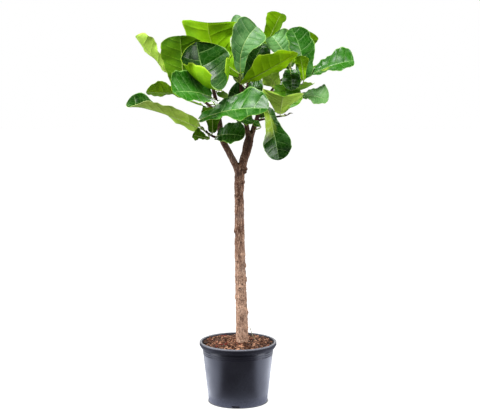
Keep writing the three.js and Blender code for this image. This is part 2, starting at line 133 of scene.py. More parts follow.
def bar(centre: Callable[[float], Vector], radius: Callable[[float], float], sides: int,
        steps: int) -> Mesh:
    """Makes a closed round bar that follows a path.

    Args:
        centre: the point at a share of the path.
        radius: the radius at a share of the path.
        sides: how many sides the section has.
        steps: how many rings the bar has along the path.

    Returns:
        The bar's own mesh.
    """
    bm = bmesh.new()
    bmesh.ops.create_cone(bm, cap_ends=True, segments=sides, radius1=1, radius2=1, depth=1)
    long_edges = [e for e in bm.edges if abs(e.verts[0].co.z - e.verts[1].co.z) > 0.5]
    bmesh.ops.subdivide_edges(bm, edges=long_edges, cuts=steps - 1)
    points = [centre(i / steps) for i in range(steps + 1)]
    tangents = [(points[min(i + 1, steps)] - points[max(i - 1, 0)]).normalized() for i in range(steps + 1)]
    sideways = tangents[0].orthogonal()
    frames = []
    for tangent in tangents:
        sideways = (sideways - tangent * sideways.dot(tangent)).normalized()
        frames.append((sideways, tangent.cross(sideways)))
    for v in bm.verts:
        ring = round((v.co.z + 0.5) * steps)
        across, up = frames[ring]
        v.co = points[ring] + radius(ring / steps) * (v.co.x * across + v.co.y * up)
    return bm


def merge(bm: Mesh, part: Mesh, material: int = 0) -> None:
    """Adds a finished part to a mesh, and frees the part.

    Args:
        bm: the mesh that the part is added to.
        part: the part's own mesh.
        material: the material index of all the part's faces.
    """
    for face in part.faces:
        face.material_index = material
    mesh = bpy.data.meshes.new("part")
    part.to_mesh(mesh)
    part.free()
    bm.from_mesh(mesh)
    bpy.data.meshes.remove(mesh)


def piece_from(bm: Mesh, name: str, materials: Sequence[Material],
               replaced: Sequence[str] = (), smooth_faces: bool = True) -> Piece:
    """Makes a finished piece of a mesh: named, dressed, riding on the plant's one body.

    Args:
        bm: the finished mesh, in metres, in the row frame. It is freed.
        name: the piece's name.
        materials: its materials, in the order of the faces' material indices.
        replaced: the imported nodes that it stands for.
        smooth_faces: whether its faces are shaded smooth.

    Returns:
        The new object.
    """
    for face in bm.faces:
        face.smooth = smooth_faces
    mesh = bpy.data.meshes.new(name)
    bm.to_mesh(mesh)
    bm.free()
    for material in materials:
        mesh.materials.append(material)
    piece = bpy.data.objects.new(name, mesh)
    bpy.context.scene.collection.objects.link(piece)
    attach(piece, BODY)
    if replaced:
        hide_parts(*replaced)
    log.info("%s: %d faces", name, len(mesh.polygons))
    return piece


# --------------------------------------------------------------------------- shader graphs

class Graph:
    """A shader node tree filled by short calls, whose inputs are plain values or other nodes' sockets."""

    def __init__(self, tree: Tree) -> None:
        """Keeps the tree that the calls fill."""
        self.tree = tree

    def add(self, kind: str, inputs: dict | None = None, **settings: object) -> Node:
        """Adds a node.

        Args:
            kind: the node's type.
            inputs: a value or a socket for each input that is set, by name or number.
            settings: the node's own settings.

        Returns:
            The node.
        """
        node = self.tree.nodes.new(kind)
        for name, value in settings.items():
            setattr(node, name, value)
        for key, value in (inputs or {}).items():
            if isinstance(value, Socket):
                self.tree.links.new(value, node.inputs[key])
            else:
                node.inputs[key].default_value = value
        return node

    def math(self, operation: str, *values: object, clamp: bool = False) -> Socket:
        """Returns the result of an operation on one, two or three values."""
        return self.add("ShaderNodeMath", dict(enumerate(values)), operation=operation,
                        use_clamp=clamp).outputs[0]

    def times(self, value: object, factor: object, *plus: object, clamp: bool = False) -> Socket:
        """Returns a value times a factor, with a third value added where one is given."""
        return self.math("MULTIPLY_ADD" if plus else "MULTIPLY", value, factor, *plus, clamp=clamp)

    def feed(self, node: Node, **sources: Socket) -> None:
        """Links sockets to a node's inputs, which are named with _ for each space."""
        for key, source in sources.items():
            self.tree.links.new(source, node.inputs[key.replace("_", " ")])

    def mix(self, share: object, low: object, high: object) -> Socket:
        """Returns the colour that lies at a share between two colours."""
        return self.add("ShaderNodeMix", {0: share, 6: low, 7: high}, data_type="RGBA").outputs[2]

    def paint(self, colour: object, *coats: tuple[object, object]) -> Socket:
        """Returns a colour under coats of others, each given as (how much it covers, its colour)."""
        for cover, coat in coats:
            colour = self.mix(cover, colour, coat)
        return colour

    def high(self, one: object, other: object) -> Socket:
        """Returns the higher of two values."""
        return self.math("MAXIMUM", one, other)

    def split(self, vector: object) -> Sockets:
        """Returns the x, y and z of a vector."""
        return self.add("ShaderNodeSeparateXYZ", {0: vector}).outputs

    def remap(self, value: object, low: object, high: object, to_low: object = 0.0,
              to_high: object = 1.0) -> Socket:
        """Returns a value moved from one range to another, eased at both ends."""
        return self.add("ShaderNodeMapRange", {0: value, 1: low, 2: high, 3: to_low, 4: to_high},
                        interpolation_type="SMOOTHSTEP").outputs[0]

    def noise(self, vector: object, scale: object, detail: float = 3.0,
              roughness: float = 0.5) -> Socket:
        """Returns a noise value, 0 to 1, over a vector."""
        return self.add("ShaderNodeTexNoise", {"Vector": vector, "Scale": scale, "Detail": detail,
                                               "Roughness": roughness}).outputs[0]

    def place(self, stretch: Point = (1, 1, 1)) -> Socket:
        """Returns the Object coordinates, stretched by a factor along each axis."""
        where = self.add("ShaderNodeTexCoord").outputs["Object"]
        return self.add("ShaderNodeMapping", {"Vector": where, "Scale": stretch}).outputs[0]

    def attribute(self, name: str) -> Socket:
        """Returns a value that the mesh holds at each corner or point."""
        return self.add("ShaderNodeAttribute", attribute_name=name).outputs["Fac"]

    def group(self, tree: Tree, inputs: dict) -> Sockets:
        """Adds a node group with its own values, and returns its outputs."""
        return self.add("ShaderNodeGroup", inputs, node_tree=tree).outputs

    def bump(self, height: object, depth: float) -> Socket:
        """Returns the normal of a relief whose height of 1 stands for a depth in metres."""
        return self.add("ShaderNodeBump", {"Height": height, "Distance": depth}).outputs[0]


def new_material(name: str, **sockets: object) -> tuple[Material, Graph, Node]:
    """Makes a material with one Principled shader.

    Args:
        name: the material's name.
        sockets: values for the shader's own sockets, with _ for each space in their names.

    Returns:
        The material, its graph, and the shader node.
    """
    material = bpy.data.materials.new(name)
    material.use_nodes = True
    shader = material.node_tree.nodes["Principled BSDF"]
    for key, value in sockets.items():
        shader.inputs[key.replace("_", " ")].default_value = value
    return material, Graph(material.node_tree), shader


def new_group(name: str, inputs: dict[str, float | Point],
              outputs: Sequence[str]) -> tuple[Tree, Graph, Sockets, Node]:
    """Makes an empty shader node group.

    Args:
        name: the group's name.
        inputs: each input's name and default; three numbers make a vector.
        outputs: the names of the outputs, all values.

    Returns:
        The group, its graph, the sockets that its inputs come in by, and its output node.
    """
    tree = bpy.data.node_groups.new(name, "ShaderNodeTree")
    for key, default in inputs.items():
        kind = "NodeSocketFloat" if isinstance(default, (int, float)) else "NodeSocketVector"
        socket = tree.interface.new_socket(name=key, in_out="INPUT", socket_type=kind)
        socket.default_value = default
    for key in outputs:
        tree.interface.new_socket(name=key, in_out="OUTPUT", socket_type="NodeSocketFloat")
    graph = Graph(tree)
    return tree, graph, graph.add("NodeGroupInput").outputs, graph.add("NodeGroupOutput")


class Patterns:
    """The shader node groups that several finishes share, each built once."""

    def __init__(self) -> None:
        """Builds the groups."""
        self.veins = self._veins()
        self.mottle = self._mottle()

    def tone(self, graph: Graph, where: Socket, broad: float, fine: float) -> Sockets:
        """Adds the mottle to a graph at two sizes, and returns its outputs, Broad and Fine."""
        return graph.group(self.mottle, {"Vector": where, "Broad Scale": broad, "Fine Scale": fine})

    @staticmethod
    def _veins() -> Tree:
        """Builds the masks of a leaf's veins over its own map: x across, y along the veins' feet.

        Returns:
            The group, with the outputs Midrib, Laterals, Net, Margin and Between.
        """
        tree, graph, given, out = new_group(
            "leaf_veins", {"Map": (0.0, 0.0, 0.0), "Pairs": 7.0, "Width": 0.008},
            ("Midrib", "Laterals", "Net", "Margin", "Between"))
        x, y = graph.split(given["Map"])[:2]
        aside = graph.times(graph.math("ABSOLUTE", graph.math("SUBTRACT", x, 0.5)), 2.0)
        foot = graph.times(graph.math("GREATER_THAN", x, 0.5), -0.5, 0.75)
        phase = graph.math("SUBTRACT", graph.times(y, given["Pairs"]), foot)
        beside = graph.math("FRACT", graph.math("ADD", phase, 0.5))
        beside = graph.math("ABSOLUTE", graph.math("SUBTRACT", beside, 0.5))
        away = graph.math("DIVIDE", beside, given["Pairs"])
        width = graph.times(given["Width"], graph.times(aside, -0.65, 1.0))
        laterals = graph.remap(away, graph.times(width, 0.3), width, 1.0, 0.0)
        rib = graph.times(y, -0.030, 0.045)
        midrib = graph.remap(aside, graph.times(rib, 0.4), rib, 1.0, 0.0)
        cells = graph.add("ShaderNodeCombineXYZ", {0: graph.times(x, 9.0), 1: graph.times(y, 20.0)})
        net = graph.add("ShaderNodeTexVoronoi", {"Vector": cells.outputs[0], "Scale": 1.0},
                        feature="DISTANCE_TO_EDGE").outputs["Distance"]
        net = graph.remap(net, 0.0, 0.09, 1.0, 0.0)
        margin = graph.remap(aside, 0.94, 0.985)
        graph.feed(out, Midrib=midrib, Laterals=laterals, Net=net, Margin=margin,
                   Between=graph.remap(beside, 0.0, 0.5))
        return tree

    @staticmethod
    def _mottle() -> Tree:
        """Builds an uneven tone from two sizes of noise over a vector.

        Returns:
            The group, with the outputs Broad and Fine.
        """
        inputs = {"Vector": (0.0, 0.0, 0.0), "Broad Scale": 10.0, "Fine Scale": 80.0}
        tree, graph, given, out = new_group("mottle", inputs, ("Broad", "Fine"))
        broad = graph.noise(given["Vector"], given["Broad Scale"], 2.0)
        fine = graph.noise(given["Vector"], given["Fine Scale"], 4.0, 0.65)
        graph.feed(out, Broad=graph.remap(broad, 0.32, 0.68), Fine=graph.remap(fine, 0.30, 0.70))
        return tree


# --------------------------------------------------------------------------- finishes

class Finishes:
    """The materials, each made once from its finish and the shared node groups."""

    def __init__(self) -> None:
        """Builds the node groups."""
        self.patterns = Patterns()
        self.made: dict = {}

    def of(self, finish: object) -> Material:
        """Returns the material of a finish."""
        if finish not in self.made:
            self.made[finish] = finish.material(self.patterns)
        return self.made[finish]


# how deep the veins lie in a blade's upper side, and how far they stand out of its underside
SUNKEN, RAISED = -0.25 * MM, 0.4 * MM


@dataclass(frozen=True)
class LeafFinish:
    """The finish of one side of a leaf blade, with painted sheen in soft pale patches."""

    name: str
    dark: Colour
    light: Colour
    vein: Colour
    margin: Colour
    roughness: float
    vein_show: float
    net_show: float
    relief: float
    shine: float
    # painted sheen: how strongly soft pale patches stand in for the lights' reflection, and their colour
    painted_sheen: float = 0.0
    painted_sheen_colour: Colour = rgb(126, 176, 108)
    patch: Colour = rgb(150, 176, 56)

    def material(self, patterns: Patterns) -> Material:
        """Builds the material.

        Args:
            patterns: the shared node groups.

        Returns:
            The material.
        """
        material, graph, shader = new_material(self.name, Specular_IOR_Level=self.shine)
        where = graph.place()
        leaf_map = graph.add("ShaderNodeUVMap", uv_map=Leaf.MAP).outputs[0]
        veins = {"Map": leaf_map, "Pairs": Leaf.PAIRS, "Width": Leaf.VEIN_WIDTH}
        veins = graph.group(patterns.veins, veins)
        tone = patterns.tone(graph, where, 14.0, 160.0)
        share = graph.times(tone["Fine"], 0.18, graph.times(tone["Broad"], 0.55))
        share = graph.times(veins["Between"], 0.12, share, clamp=True)
        # Painted sheen: soft pale patches that stand in for the reflection of the lights.
        sheen_patches = graph.remap(graph.noise(where, 22.0, 2.0), 0.46, 0.70)
        colour = graph.paint(graph.mix(share, self.dark, self.light),
                             (graph.times(sheen_patches, self.painted_sheen), self.painted_sheen_colour),
                             (graph.times(graph.attribute("patch"), 0.9), self.patch),
                             (graph.times(veins["Net"], self.net_show), self.vein),
                             (graph.times(veins["Laterals"], self.vein_show), self.vein),
                             (graph.times(veins["Midrib"], min(self.vein_show + 0.25, 1.0)), self.vein),
                             # The pale margin is the blade's lighter edge, brightened further as a painted
                             # reflection of the white backdrop.
                             (veins["Margin"], self.margin))
        height = graph.high(veins["Midrib"], graph.times(veins["Laterals"], 0.8))
        height = graph.high(height, graph.times(veins["Net"], 0.3))
        height = graph.times(tone["Fine"], 0.12, height)
        graph.feed(shader, Base_Color=colour, Normal=graph.bump(height, self.relief),
                   Roughness=graph.times(tone["Fine"], 0.10, self.roughness - 0.05))
        return material


@dataclass(frozen=True)
class StalkFinish:
    """The finish of green petioles, and of dry straw and sheaths, which differ only in values."""

    name: str
    dark: Colour
    light: Colour
    roughness: float

    def material(self, patterns: Patterns) -> Material:
        """Builds the material from the shared node groups."""
        material, graph, shader = new_material(self.name, Specular_IOR_Level=0.4)
        tone = patterns.tone(graph, graph.place((1, 1, 0.35)), 45.0, 260.0)
        share = graph.times(tone["Fine"], 0.45, graph.times(tone["Broad"], 0.55))
        graph.feed(shader, Base_Color=graph.mix(share, self.dark, self.light),
                   Roughness=graph.times(tone["Fine"], 0.15, self.roughness - 0.07),
                   Normal=graph.bump(tone["Fine"], 0.25 * MM))
        return material


@dataclass(frozen=True)
class BarkFinish:
    """The finish of the wood: tan old bark with fissures and scars, and painted shade in its sunken places,
    darker and redder on young wood.
    """

    name: str = "bark"
    old_dark: Colour = rgb(112, 76, 58)
    old_light: Colour = rgb(214, 174, 148)
    old_grey: Colour = rgb(160, 136, 122)
    fleck: Colour = rgb(232, 200, 176)
    young_dark: Colour = rgb(46, 24, 14)
    young_light: Colour = rgb(112, 70, 48)
    fissure: Colour = rgb(58, 28, 18)
    scar: Colour = rgb(38, 22, 18)
    rise: tuple[float, float] = (0.34, -0.44)

    def material(self, patterns: Patterns) -> Material:
        """Builds the material from the shared node groups."""
        material, graph, shader = new_material(self.name, Specular_IOR_Level=0.25)
        tone = patterns.tone(graph, graph.place((1, 1, 0.35)), 55.0, 210.0)
        patches = graph.remap(graph.noise(graph.place(), 16.0, 2.0), 0.48, 0.66)
        crack = graph.remap(graph.noise(graph.place((1, 1, 0.42)), 260.0, 5.0, 0.7), 0.40, 0.48, 1.0, 0.0)
        wrinkle = graph.noise(graph.place((0.5, 0.5, 1)), 300.0, 3.0, 0.6)
        wrinkle = graph.remap(wrinkle, 0.36, 0.46, 1.0, 0.0)
        crack = graph.high(crack, graph.times(wrinkle, 0.7))
        height = graph.split(graph.place())[2]
        share = graph.times(tone["Fine"], 0.5, graph.times(tone["Broad"], 0.5))
        share = graph.math("ADD", share, graph.remap(height, 0.35, 0.85, *self.rise), clamp=True)
        old = graph.paint(graph.mix(share, self.old_dark, self.old_light),
                          (graph.times(patches, 0.45), self.old_grey),
                          (graph.remap(height, 0.30, 0.62, 0.22, 0.0), self.old_light))
        age = graph.attribute("age")
        flecks = graph.remap(graph.noise(graph.place((1, 1, 0.45)), 240.0, 4.0, 0.65), 0.54, 0.62)
        colour = graph.paint(graph.mix(share, self.young_dark, self.young_light), (age, old),
                             (graph.times(graph.times(flecks, age), 0.55), self.fleck),
                             (graph.times(crack, 0.75), self.fissure),
                             # painted shade: the sunken bark is darkened with the fissure colour
                             (graph.attribute("hollow_shade"), self.fissure),
                             (graph.attribute("scar"), self.scar))
        graph.feed(shader, Base_Color=colour, Roughness=graph.times(tone["Fine"], 0.15, 0.72),
                   Normal=graph.bump(graph.times(crack, -0.6, tone["Fine"]), 0.8 * MM))
        return material


@dataclass(frozen=True)
class ChipFinish:
    """The finish of bark chips and of the bed under them, whose darkest tone is painted shade in the gaps
    between chips.
    """

    name: str = "bark_chips"
    shade: Colour = rgb(24, 11, 7)
    brown: Colour = rgb(88, 46, 26)
    tan: Colour = rgb(212, 158, 124)
    red: Colour = rgb(140, 40, 36)

    def material(self, patterns: Patterns) -> Material:
        """Builds the material from the shared node groups."""
        material, graph, shader = new_material(self.name, Specular_IOR_Level=0.25)
        tone = patterns.tone(graph, graph.place(), 120.0, 420.0)
        own = graph.attribute("tone")
        colour = graph.paint(self.shade, (graph.remap(own, 0.0, 0.45), self.brown),
                             (graph.remap(own, 0.45, 0.9), self.tan),
                             (graph.remap(own, 1.0, 1.1), self.red),
                             (graph.times(tone["Fine"], 0.45), self.shade),
                             (graph.times(tone["Broad"], 0.12), self.tan))
        graph.feed(shader, Base_Color=colour, Roughness=graph.times(tone["Fine"], 0.15, 0.75),
                   Normal=graph.bump(tone["Fine"], 0.6 * MM))
        return material


@dataclass(frozen=True)
class PlasticFinish:
    """The finish of the nursery pot: near-black plastic with dust and fine turned lines, a lip edge
    lightened as rubbing and as a painted highlight along its front, and painted shade where the dust thins
    under the lip.
    """

    name: str = "pot_plastic"
    body: Colour = rgb(13, 9, 24)
    dust: Colour = rgb(106, 110, 128)
    scuff_and_highlight: Colour = rgb(138, 140, 150)
    tint: Colour = (0.84, 0.88, 1.0, 1.0)
    roughness: float = 0.28
    flank_foot: tuple[float, float] = (0.219, 0.225)
    flank_top: tuple[float, float] = (0.238, 0.243)
    # the height of the lip's top edge that is lightened, partly as rubbing and partly as a painted
    # highlight, and the depth towards the front where the painted highlight is strongest
    wear_and_highlight_edge: tuple[float, float] = (0.2385, 0.2425)
    wear_and_highlight_side: tuple[float, float] = (-0.125, -0.03)

    def material(self, patterns: Patterns) -> Material:
        """Builds the material from the shared node groups."""
        material, graph, shader = new_material(self.name, Specular_IOR_Level=0.5, Specular_Tint=self.tint)
        tone = patterns.tone(graph, graph.place(), 9.0, 240.0)
        lines = graph.noise(graph.place((0.05, 0.05, 1)), 420.0, 2.0)
        _, depth, height = graph.split(graph.place())
        low = graph.remap(height, 0.01, 0.045, 1.0, 0.0)
        dust_and_lip_shade = graph.times(graph.times(low, 4.3, tone["Broad"]), graph.times(tone["Fine"], 0.10, 0.03))
        # Painted shade under the lip: the dust thins out below it, so the wall there reads darker.
        dust_and_lip_shade = graph.times(dust_and_lip_shade, graph.remap(height, 0.12, 0.20, 1.0, 0.25))
        # The lip's top edge is lightened, partly as rubbing and partly as a painted highlight, most on its
        # front half.
        wear_and_highlight = graph.times(graph.remap(height, *self.wear_and_highlight_edge), graph.times(tone["Fine"], 0.5, 0.4))
        wear_and_highlight = graph.times(wear_and_highlight, graph.remap(depth, *self.wear_and_highlight_side, 1.0, 0.15))
        flank = graph.remap(height, *self.flank_foot)
        flank = graph.times(flank, graph.remap(height, *self.flank_top, 1.0, 0.0))
        rough = graph.times(flank, 0.42, graph.times(tone["Broad"], 0.10, self.roughness))
        relief = graph.times(lines, 0.5, graph.times(tone["Fine"], 0.35))
        graph.feed(shader, Base_Color=graph.paint(self.body, (dust_and_lip_shade, self.dust), (wear_and_highlight, self.scuff_and_highlight)),
                   Roughness=graph.times(graph.high(dust_and_lip_shade, wear_and_highlight), 0.6, rough),
                   Normal=graph.bump(relief, 0.12 * MM))
        return material


class Upper(Enum):
    """The upper side of a leaf, in dark, plain, paled and brightened copies: the darkest is painted shade
    for leaves deep in the crown, the paled ones carry painted sheen, and the brightest is painted light on
    a leaf that lies in shade.
    """

    # dark copy: painted shade for leaves deep in the crown
    DEEP = LeafFinish("upper_deep", rgb(8, 42, 0), rgb(32, 90, 6), rgb(140, 184, 100), rgb(140, 186, 104),
                      0.30, 0.58, 0.14, SUNKEN, 0.26, 0.08)
    FRESH = LeafFinish("upper_fresh", rgb(16, 72, 2), rgb(48, 120, 12), rgb(150, 198, 112),
                       rgb(140, 190, 96), 0.32, 0.56, 0.14, SUNKEN, 0.30, 0.18)
    # paled copy: a grey-green veil and strong patches of painted sheen
    HEAVY_SHEEN = LeafFinish("upper_heavy_sheen", rgb(70, 128, 58), rgb(118, 166, 96), rgb(184, 214, 144),
                      rgb(150, 194, 110), 0.42, 0.48, 0.12, SUNKEN, 0.3, 0.5)
    # paled copy: a grey-green veil and patches of painted sheen
    SHEENED = LeafFinish("upper_sheened", rgb(46, 98, 42), rgb(84, 132, 70), rgb(172, 208, 132),
                      rgb(146, 192, 106), 0.40, 0.50, 0.12, SUNKEN, 0.24, 0.45)
    # brightened copy: painted light for a leaf that lies in shade
    YOUNG = LeafFinish("upper_sunlit", rgb(60, 128, 6), rgb(120, 178, 20), rgb(176, 208, 90),
                       rgb(160, 200, 80), 0.45, 0.36, 0.08, SUNKEN, 0.3, 0.10)


class Under(Enum):
    """The underside of a leaf, its yellow-green brightened and saturated as painted light shining through
    the blade; the brightest and the palest copies are painted light on undersides that lie in shade.
    """

    LIME = LeafFinish("under_lime", rgb(86, 136, 0), rgb(130, 176, 4), rgb(164, 200, 30), rgb(160, 194, 50),
                      0.60, 0.35, 0.08, RAISED, 0.08)
    # brightened copy: painted light on an underside that lies in shade
    BRIGHT = LeafFinish("under_bright", rgb(112, 166, 0), rgb(164, 214, 4), rgb(190, 224, 50),
                        rgb(180, 216, 60), 0.60, 0.35, 0.08, RAISED, 0.08)
    OLIVE = LeafFinish("under_olive", rgb(50, 94, 0), rgb(82, 124, 0), rgb(134, 168, 36), rgb(134, 164, 46),
                       0.60, 0.35, 0.08, RAISED, 0.08)
    # paled copy: painted light on an underside that lies in shade
    PALE = LeafFinish("under_pale", rgb(134, 176, 42), rgb(182, 212, 92), rgb(196, 216, 124),
                      rgb(194, 214, 124), 0.60, 0.35, 0.10, RAISED, 0.12)


PETIOLE_FINISH = StalkFinish("petiole_green", rgb(112, 136, 48), rgb(176, 192, 110), 0.45)
STRAW_FINISH = StalkFinish("dry_straw", rgb(150, 158, 120), rgb(206, 206, 170), 0.7)
SHEATH_FINISH = StalkFinish("dry_sheath", rgb(44, 28, 16), rgb(112, 78, 46), 0.7)
BUD_FINISH = StalkFinish("young_bud", rgb(124, 150, 50), rgb(196, 208, 124), 0.5)


# --------------------------------------------------------------------------- wood

@dataclass(frozen=True)
class Limb:
    """One stretch of wood along a path."""

    path: tuple[Point, ...]
    radii: tuple[float, ...]
    age: float
    sides: int = 12

    def centre(self, share: float) -> Vector:
        """Returns the middle of the wood at a share of its length."""
        return Path(self.path).at(share)

    def radius(self, share: float) -> float:
        """Returns the radius at a share of its length, in metres."""
        return spread(self.radii, share) * MM


LIMBS: dict[str, Limb] = {
    "stem": Limb(((17, 2, 130), (17, 1, 230), (16, 0, 300), (12, 0, 440), (8, -1, 590),
                  (6, 1, 740), (5, 0, 850), (7, 0, 930), (8, 0, 955)),
                 (22, 25.5, 24.5, 22.5, 20.5, 18.5, 18, 20, 19), 1.0, sides=24),
    "left_limb": Limb(((4, 0, 915), (-10, -2, 955), (-35, -6, 1005), (-60, -10, 1055), (-70, -5, 1100),
                       (-75, 0, 1135)), (14, 13.5, 13, 12.5, 12, 11), 0.35, sides=18),
    "right_limb": Limb(((8, 0, 915), (18, 0, 955), (30, 0, 1000), (42, 0, 1045), (48, 0, 1078)),
                       (16, 17, 17, 19, 14), 0.2, sides=18),
    "shoot_left": Limb(((-74, 0, 1120), (-80, -4, 1165), (-86, -16, 1208), (-95, -38, 1250),
                        (-98, -42, 1272)), (10.5, 10, 8.5, 7, 2.5), 0.1),
    "shoot_centre": Limb(((42, 0, 1060), (36, -4, 1095), (28, -10, 1140), (16, -5, 1225), (10, 0, 1275),
                          (9, 0, 1300)), (11, 10, 9, 8, 7, 2.5), 0.1),
    "shoot_right": Limb(((50, 0, 1060), (62, 2, 1100), (75, 5, 1140), (95, 10, 1195),
                         (120, 20, 1230), (185, 20, 1255), (240, 5, 1282), (258, 0, 1294)),
                        (11, 10, 9, 8, 7, 5.5, 4.5, 2), 0.1),
    "twig_low_right": Limb(((73, 5, 1128), (112, -6, 1139), (150, -18, 1146), (182, -72, 1153),
                            (197, -90, 1158)), (4.5, 4.5, 4, 3.5, 1.8), 0.0),
    "twig_low_left": Limb(((-62, -10, 1060), (-95, -40, 1070), (-122, -52, 1087), (-134, -57, 1098)),
                          (5.5, 5, 4, 1.8), 0.0),
    "twig_left_back": Limb(((-78, -2, 1150), (-130, 70, 1200), (-190, 118, 1238), (-228, 140, 1262),
                            (-240, 146, 1272)), (6.5, 6, 5, 4, 1.8), 0.0),
    "twig_back": Limb(((16, -5, 1222), (40, 45, 1270), (70, 95, 1325), (82, 110, 1348)),
                      (5.5, 5, 4, 1.8), 0.0),
    "twig_right_back": Limb(((98, 12, 1200), (150, 88, 1266), (190, 112, 1302), (203, 118, 1318)),
                            (5.5, 5, 4, 1.8), 0.0),
}


@dataclass
class Scar:
    """A mark on the bark: the oval of a fallen leaf, or the stub of a pruned shoot."""

    centre: Vector
    width: float
    height: float
    rise: float

    def at(self, point: Vector) -> tuple[float, float]:
        """Tells what the scar does to the bark at a point.

        Args:
            point: a point on the bark, in metres.

        Returns:
            How far the bark rises there, in metres, and how dark it is, 0 to 1.
        """
        away = point - self.centre
        far = math.hypot(math.hypot(away.x, away.y) / self.width, away.z / self.height)
        if far > 1.5:
            return 0.0, 0.0
        cushion = 1 - smooth(far, 0.45, 1.4)
        dish = 1 - smooth(far, 0.15, 0.75)
        return self.rise * (cushion - 0.75 * dish), dish


@dataclass
class Wood:
    """The stem, its limbs and all the shoots, as one grown piece with bark, scars and stubs."""

    voxel: float = 1.9 * MM
    ring_step: float = 9
    samples: int = 60
    lumps: float = 1.8 * MM
    knobs: float = 1.3 * MM
    fissures: float = 0.6 * MM
    rings: float = 0.8 * MM
    lump_pitch: float = 34
    knob_pitch: Point = (95, 95, 60)
    fissure_pitch: Point = (260, 260, 55)
    ring_pitch: float = 58
    scars_from: float = 0.245
    scars_to: float = 0.90
    scar_size: tuple[float, float, float] = (7.5 * MM, 4.2 * MM, 1.3 * MM)
    scar_step: float = 17.0 * MM
    golden_angle: float = 137.5
    stubs: tuple[tuple[float, float, float, float], ...] = (
        (0.908, 80, 13, 9), (0.835, 60, 9, 4), (0.775, -50, 9, 4), (0.758, -8, 8, 3.5),
        (0.652, -80, 8, 3.5), (0.553, 100, 9, 4), (0.497, 85, 10, 4.5), (0.462, -10, 9, 3),
        (0.425, -85, 8, 3), (0.362, 75, 8, 3), (0.700, 170, 10, 4), (0.590, 200, 9, 4), (0.330, 150, 9, 4))

    def build(self, finishes: Finishes) -> Piece:
        """Builds the wood.

        Args:
            finishes: the materials.

        Returns:
            The piece, which stands for the stem and all the shoots.
        """
        mesh = self._skin()
        bm = bmesh.new()
        bm.from_mesh(mesh)
        bpy.data.meshes.remove(mesh)
        bmesh.ops.smooth_vert(bm, verts=bm.verts, factor=0.5, use_axis_x=True, use_axis_y=True,
                              use_axis_z=True)
        self._bark(bm)
        nodes = [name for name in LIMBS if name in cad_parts]
        return piece_from(bm, "bark_wood", [finishes.of(BarkFinish())], nodes)

    def _skin(self) -> bpy.types.Mesh:
        """Grows all the limbs together into one skin."""
        bm = bmesh.new()
        for limb in LIMBS.values():
            steps = max(8, int((Vector(limb.path[-1]) - Vector(limb.path[0])).length / self.ring_step))
            merge(bm, bar(limb.centre, limb.radius, limb.sides, steps))
        mesh = bpy.data.meshes.new("limbs")
        bm.to_mesh(mesh)
        bm.free()
        limbs = bpy.data.objects.new("limbs", mesh)
        bpy.context.scene.collection.objects.link(limbs)
        skin = limbs.modifiers.new("skin", "REMESH")
        skin.mode = "VOXEL"
        skin.voxel_size = self.voxel
        skin.adaptivity = 0.0
        grown = bpy.data.meshes.new_from_object(limbs.evaluated_get(bpy.context.evaluated_depsgraph_get()))
        bpy.data.objects.remove(limbs)
        bpy.data.meshes.remove(mesh)
        return grown

    def _scars(self) -> list[Scar]:
        """Places the leaf scars on a rising spiral, and the pruned stubs where they stand."""
        stem = LIMBS["stem"]
        low, high = stem.path[0][2] * MM, stem.path[-1][2] * MM
        rng = random.Random(11)

        def on_bark(z: float, azimuth: float) -> Vector:
            """Returns the point of the stem's skin at a height and an azimuth."""
            share = (z - low) / (high - low)
            spots = (stem.centre(share + i * 0.002) for i in range(-25, 26))
            spot = min(spots, key=lambda p: abs(p.z - z))
            return spot + direction(azimuth, 0) * stem.radius(share)

        scars = []
        z, azimuth = self.scars_from, 20.0
        while z < self.scars_to:
            size = rng.uniform(0.75, 1.25)
            scars.append(Scar(on_bark(z, azimuth), *(side * size for side in self.scar_size)))
            z += self.scar_step * rng.uniform(0.75, 1.3)
            azimuth += self.golden_angle + rng.uniform(-14, 14)
        scars += [Scar(on_bark(z, azimuth), size * MM, size * MM, rise * MM)
                  for z, azimuth, size, rise in self.stubs]
        return scars

    def _bark(self, bm: Mesh) -> None:
        """Raises bark, rings, scars and stubs out of the skin, and notes age, scars and the sunken places
        that take painted shade.
        """
        shares = [i / self.samples for i in range(self.samples + 1)]
        samples = [(limb, limb.centre(t), limb.radius(t)) for limb in LIMBS.values() for t in shares]
        nearest = KDTree(len(samples))
        for i, sample in enumerate(samples):
            nearest.insert(sample[1], i)
        nearest.balance()
        scars = self._scars()
        layers = bm.verts.layers.float
        age_layer, scar_layer, hollow_shade_layer = (layers.new(n) for n in ("age", "scar", "hollow_shade"))
        bm.normal_update()
        moves = []
        for v in bm.verts:
            p = v.co
            limb, _, radius = samples[nearest.find(p)[1]]
            girth = min(radius / (20 * MM), 1.0)
            coarse = noise.noise(p * self.lump_pitch + Vector((3, 7, 1)))
            knobbly = noise.noise(p * Vector(self.knob_pitch))
            fissures = noise.noise(p * Vector(self.fissure_pitch) + Vector((2 * coarse, 0, 0)))
            ring_phase = p.z * self.ring_pitch + 1.2 * noise.noise(p * 12) + 0.4 * coarse
            ring = max(0.0, math.sin(2 * math.pi * ring_phase)) ** 6
            rise = girth * (self.lumps * coarse + self.knobs * knobbly + self.fissures * fissures
                            + self.rings * ring)
            dark = 0.0
            for scar in scars:
                if abs(p.z - scar.centre.z) < 1.5 * scar.height:
                    more, shade = scar.at(p)
                    rise += more
                    dark = max(dark, shade)
            moves.append(v.normal * rise)
            near_fork = 0.3 * (1 - smooth(p.z, 0.93, 1.06)) * (limb.age < 1)
            v[age_layer] = min(max(limb.age + 0.25 * coarse + near_fork, 0.0), 1.0)
            v[scar_layer] = min(1.0, dark * (0.75 + 0.7 * noise.noise(p * 140)))
            # painted shade: how deep the bark is sunken here
            v[hollow_shade_layer] = 0.6 * smooth(-(0.7 * knobbly + 0.8 * fissures + 0.5 * coarse), 0.15, 0.85)
        for v, move in zip(bm.verts, moves):
            v.co += move


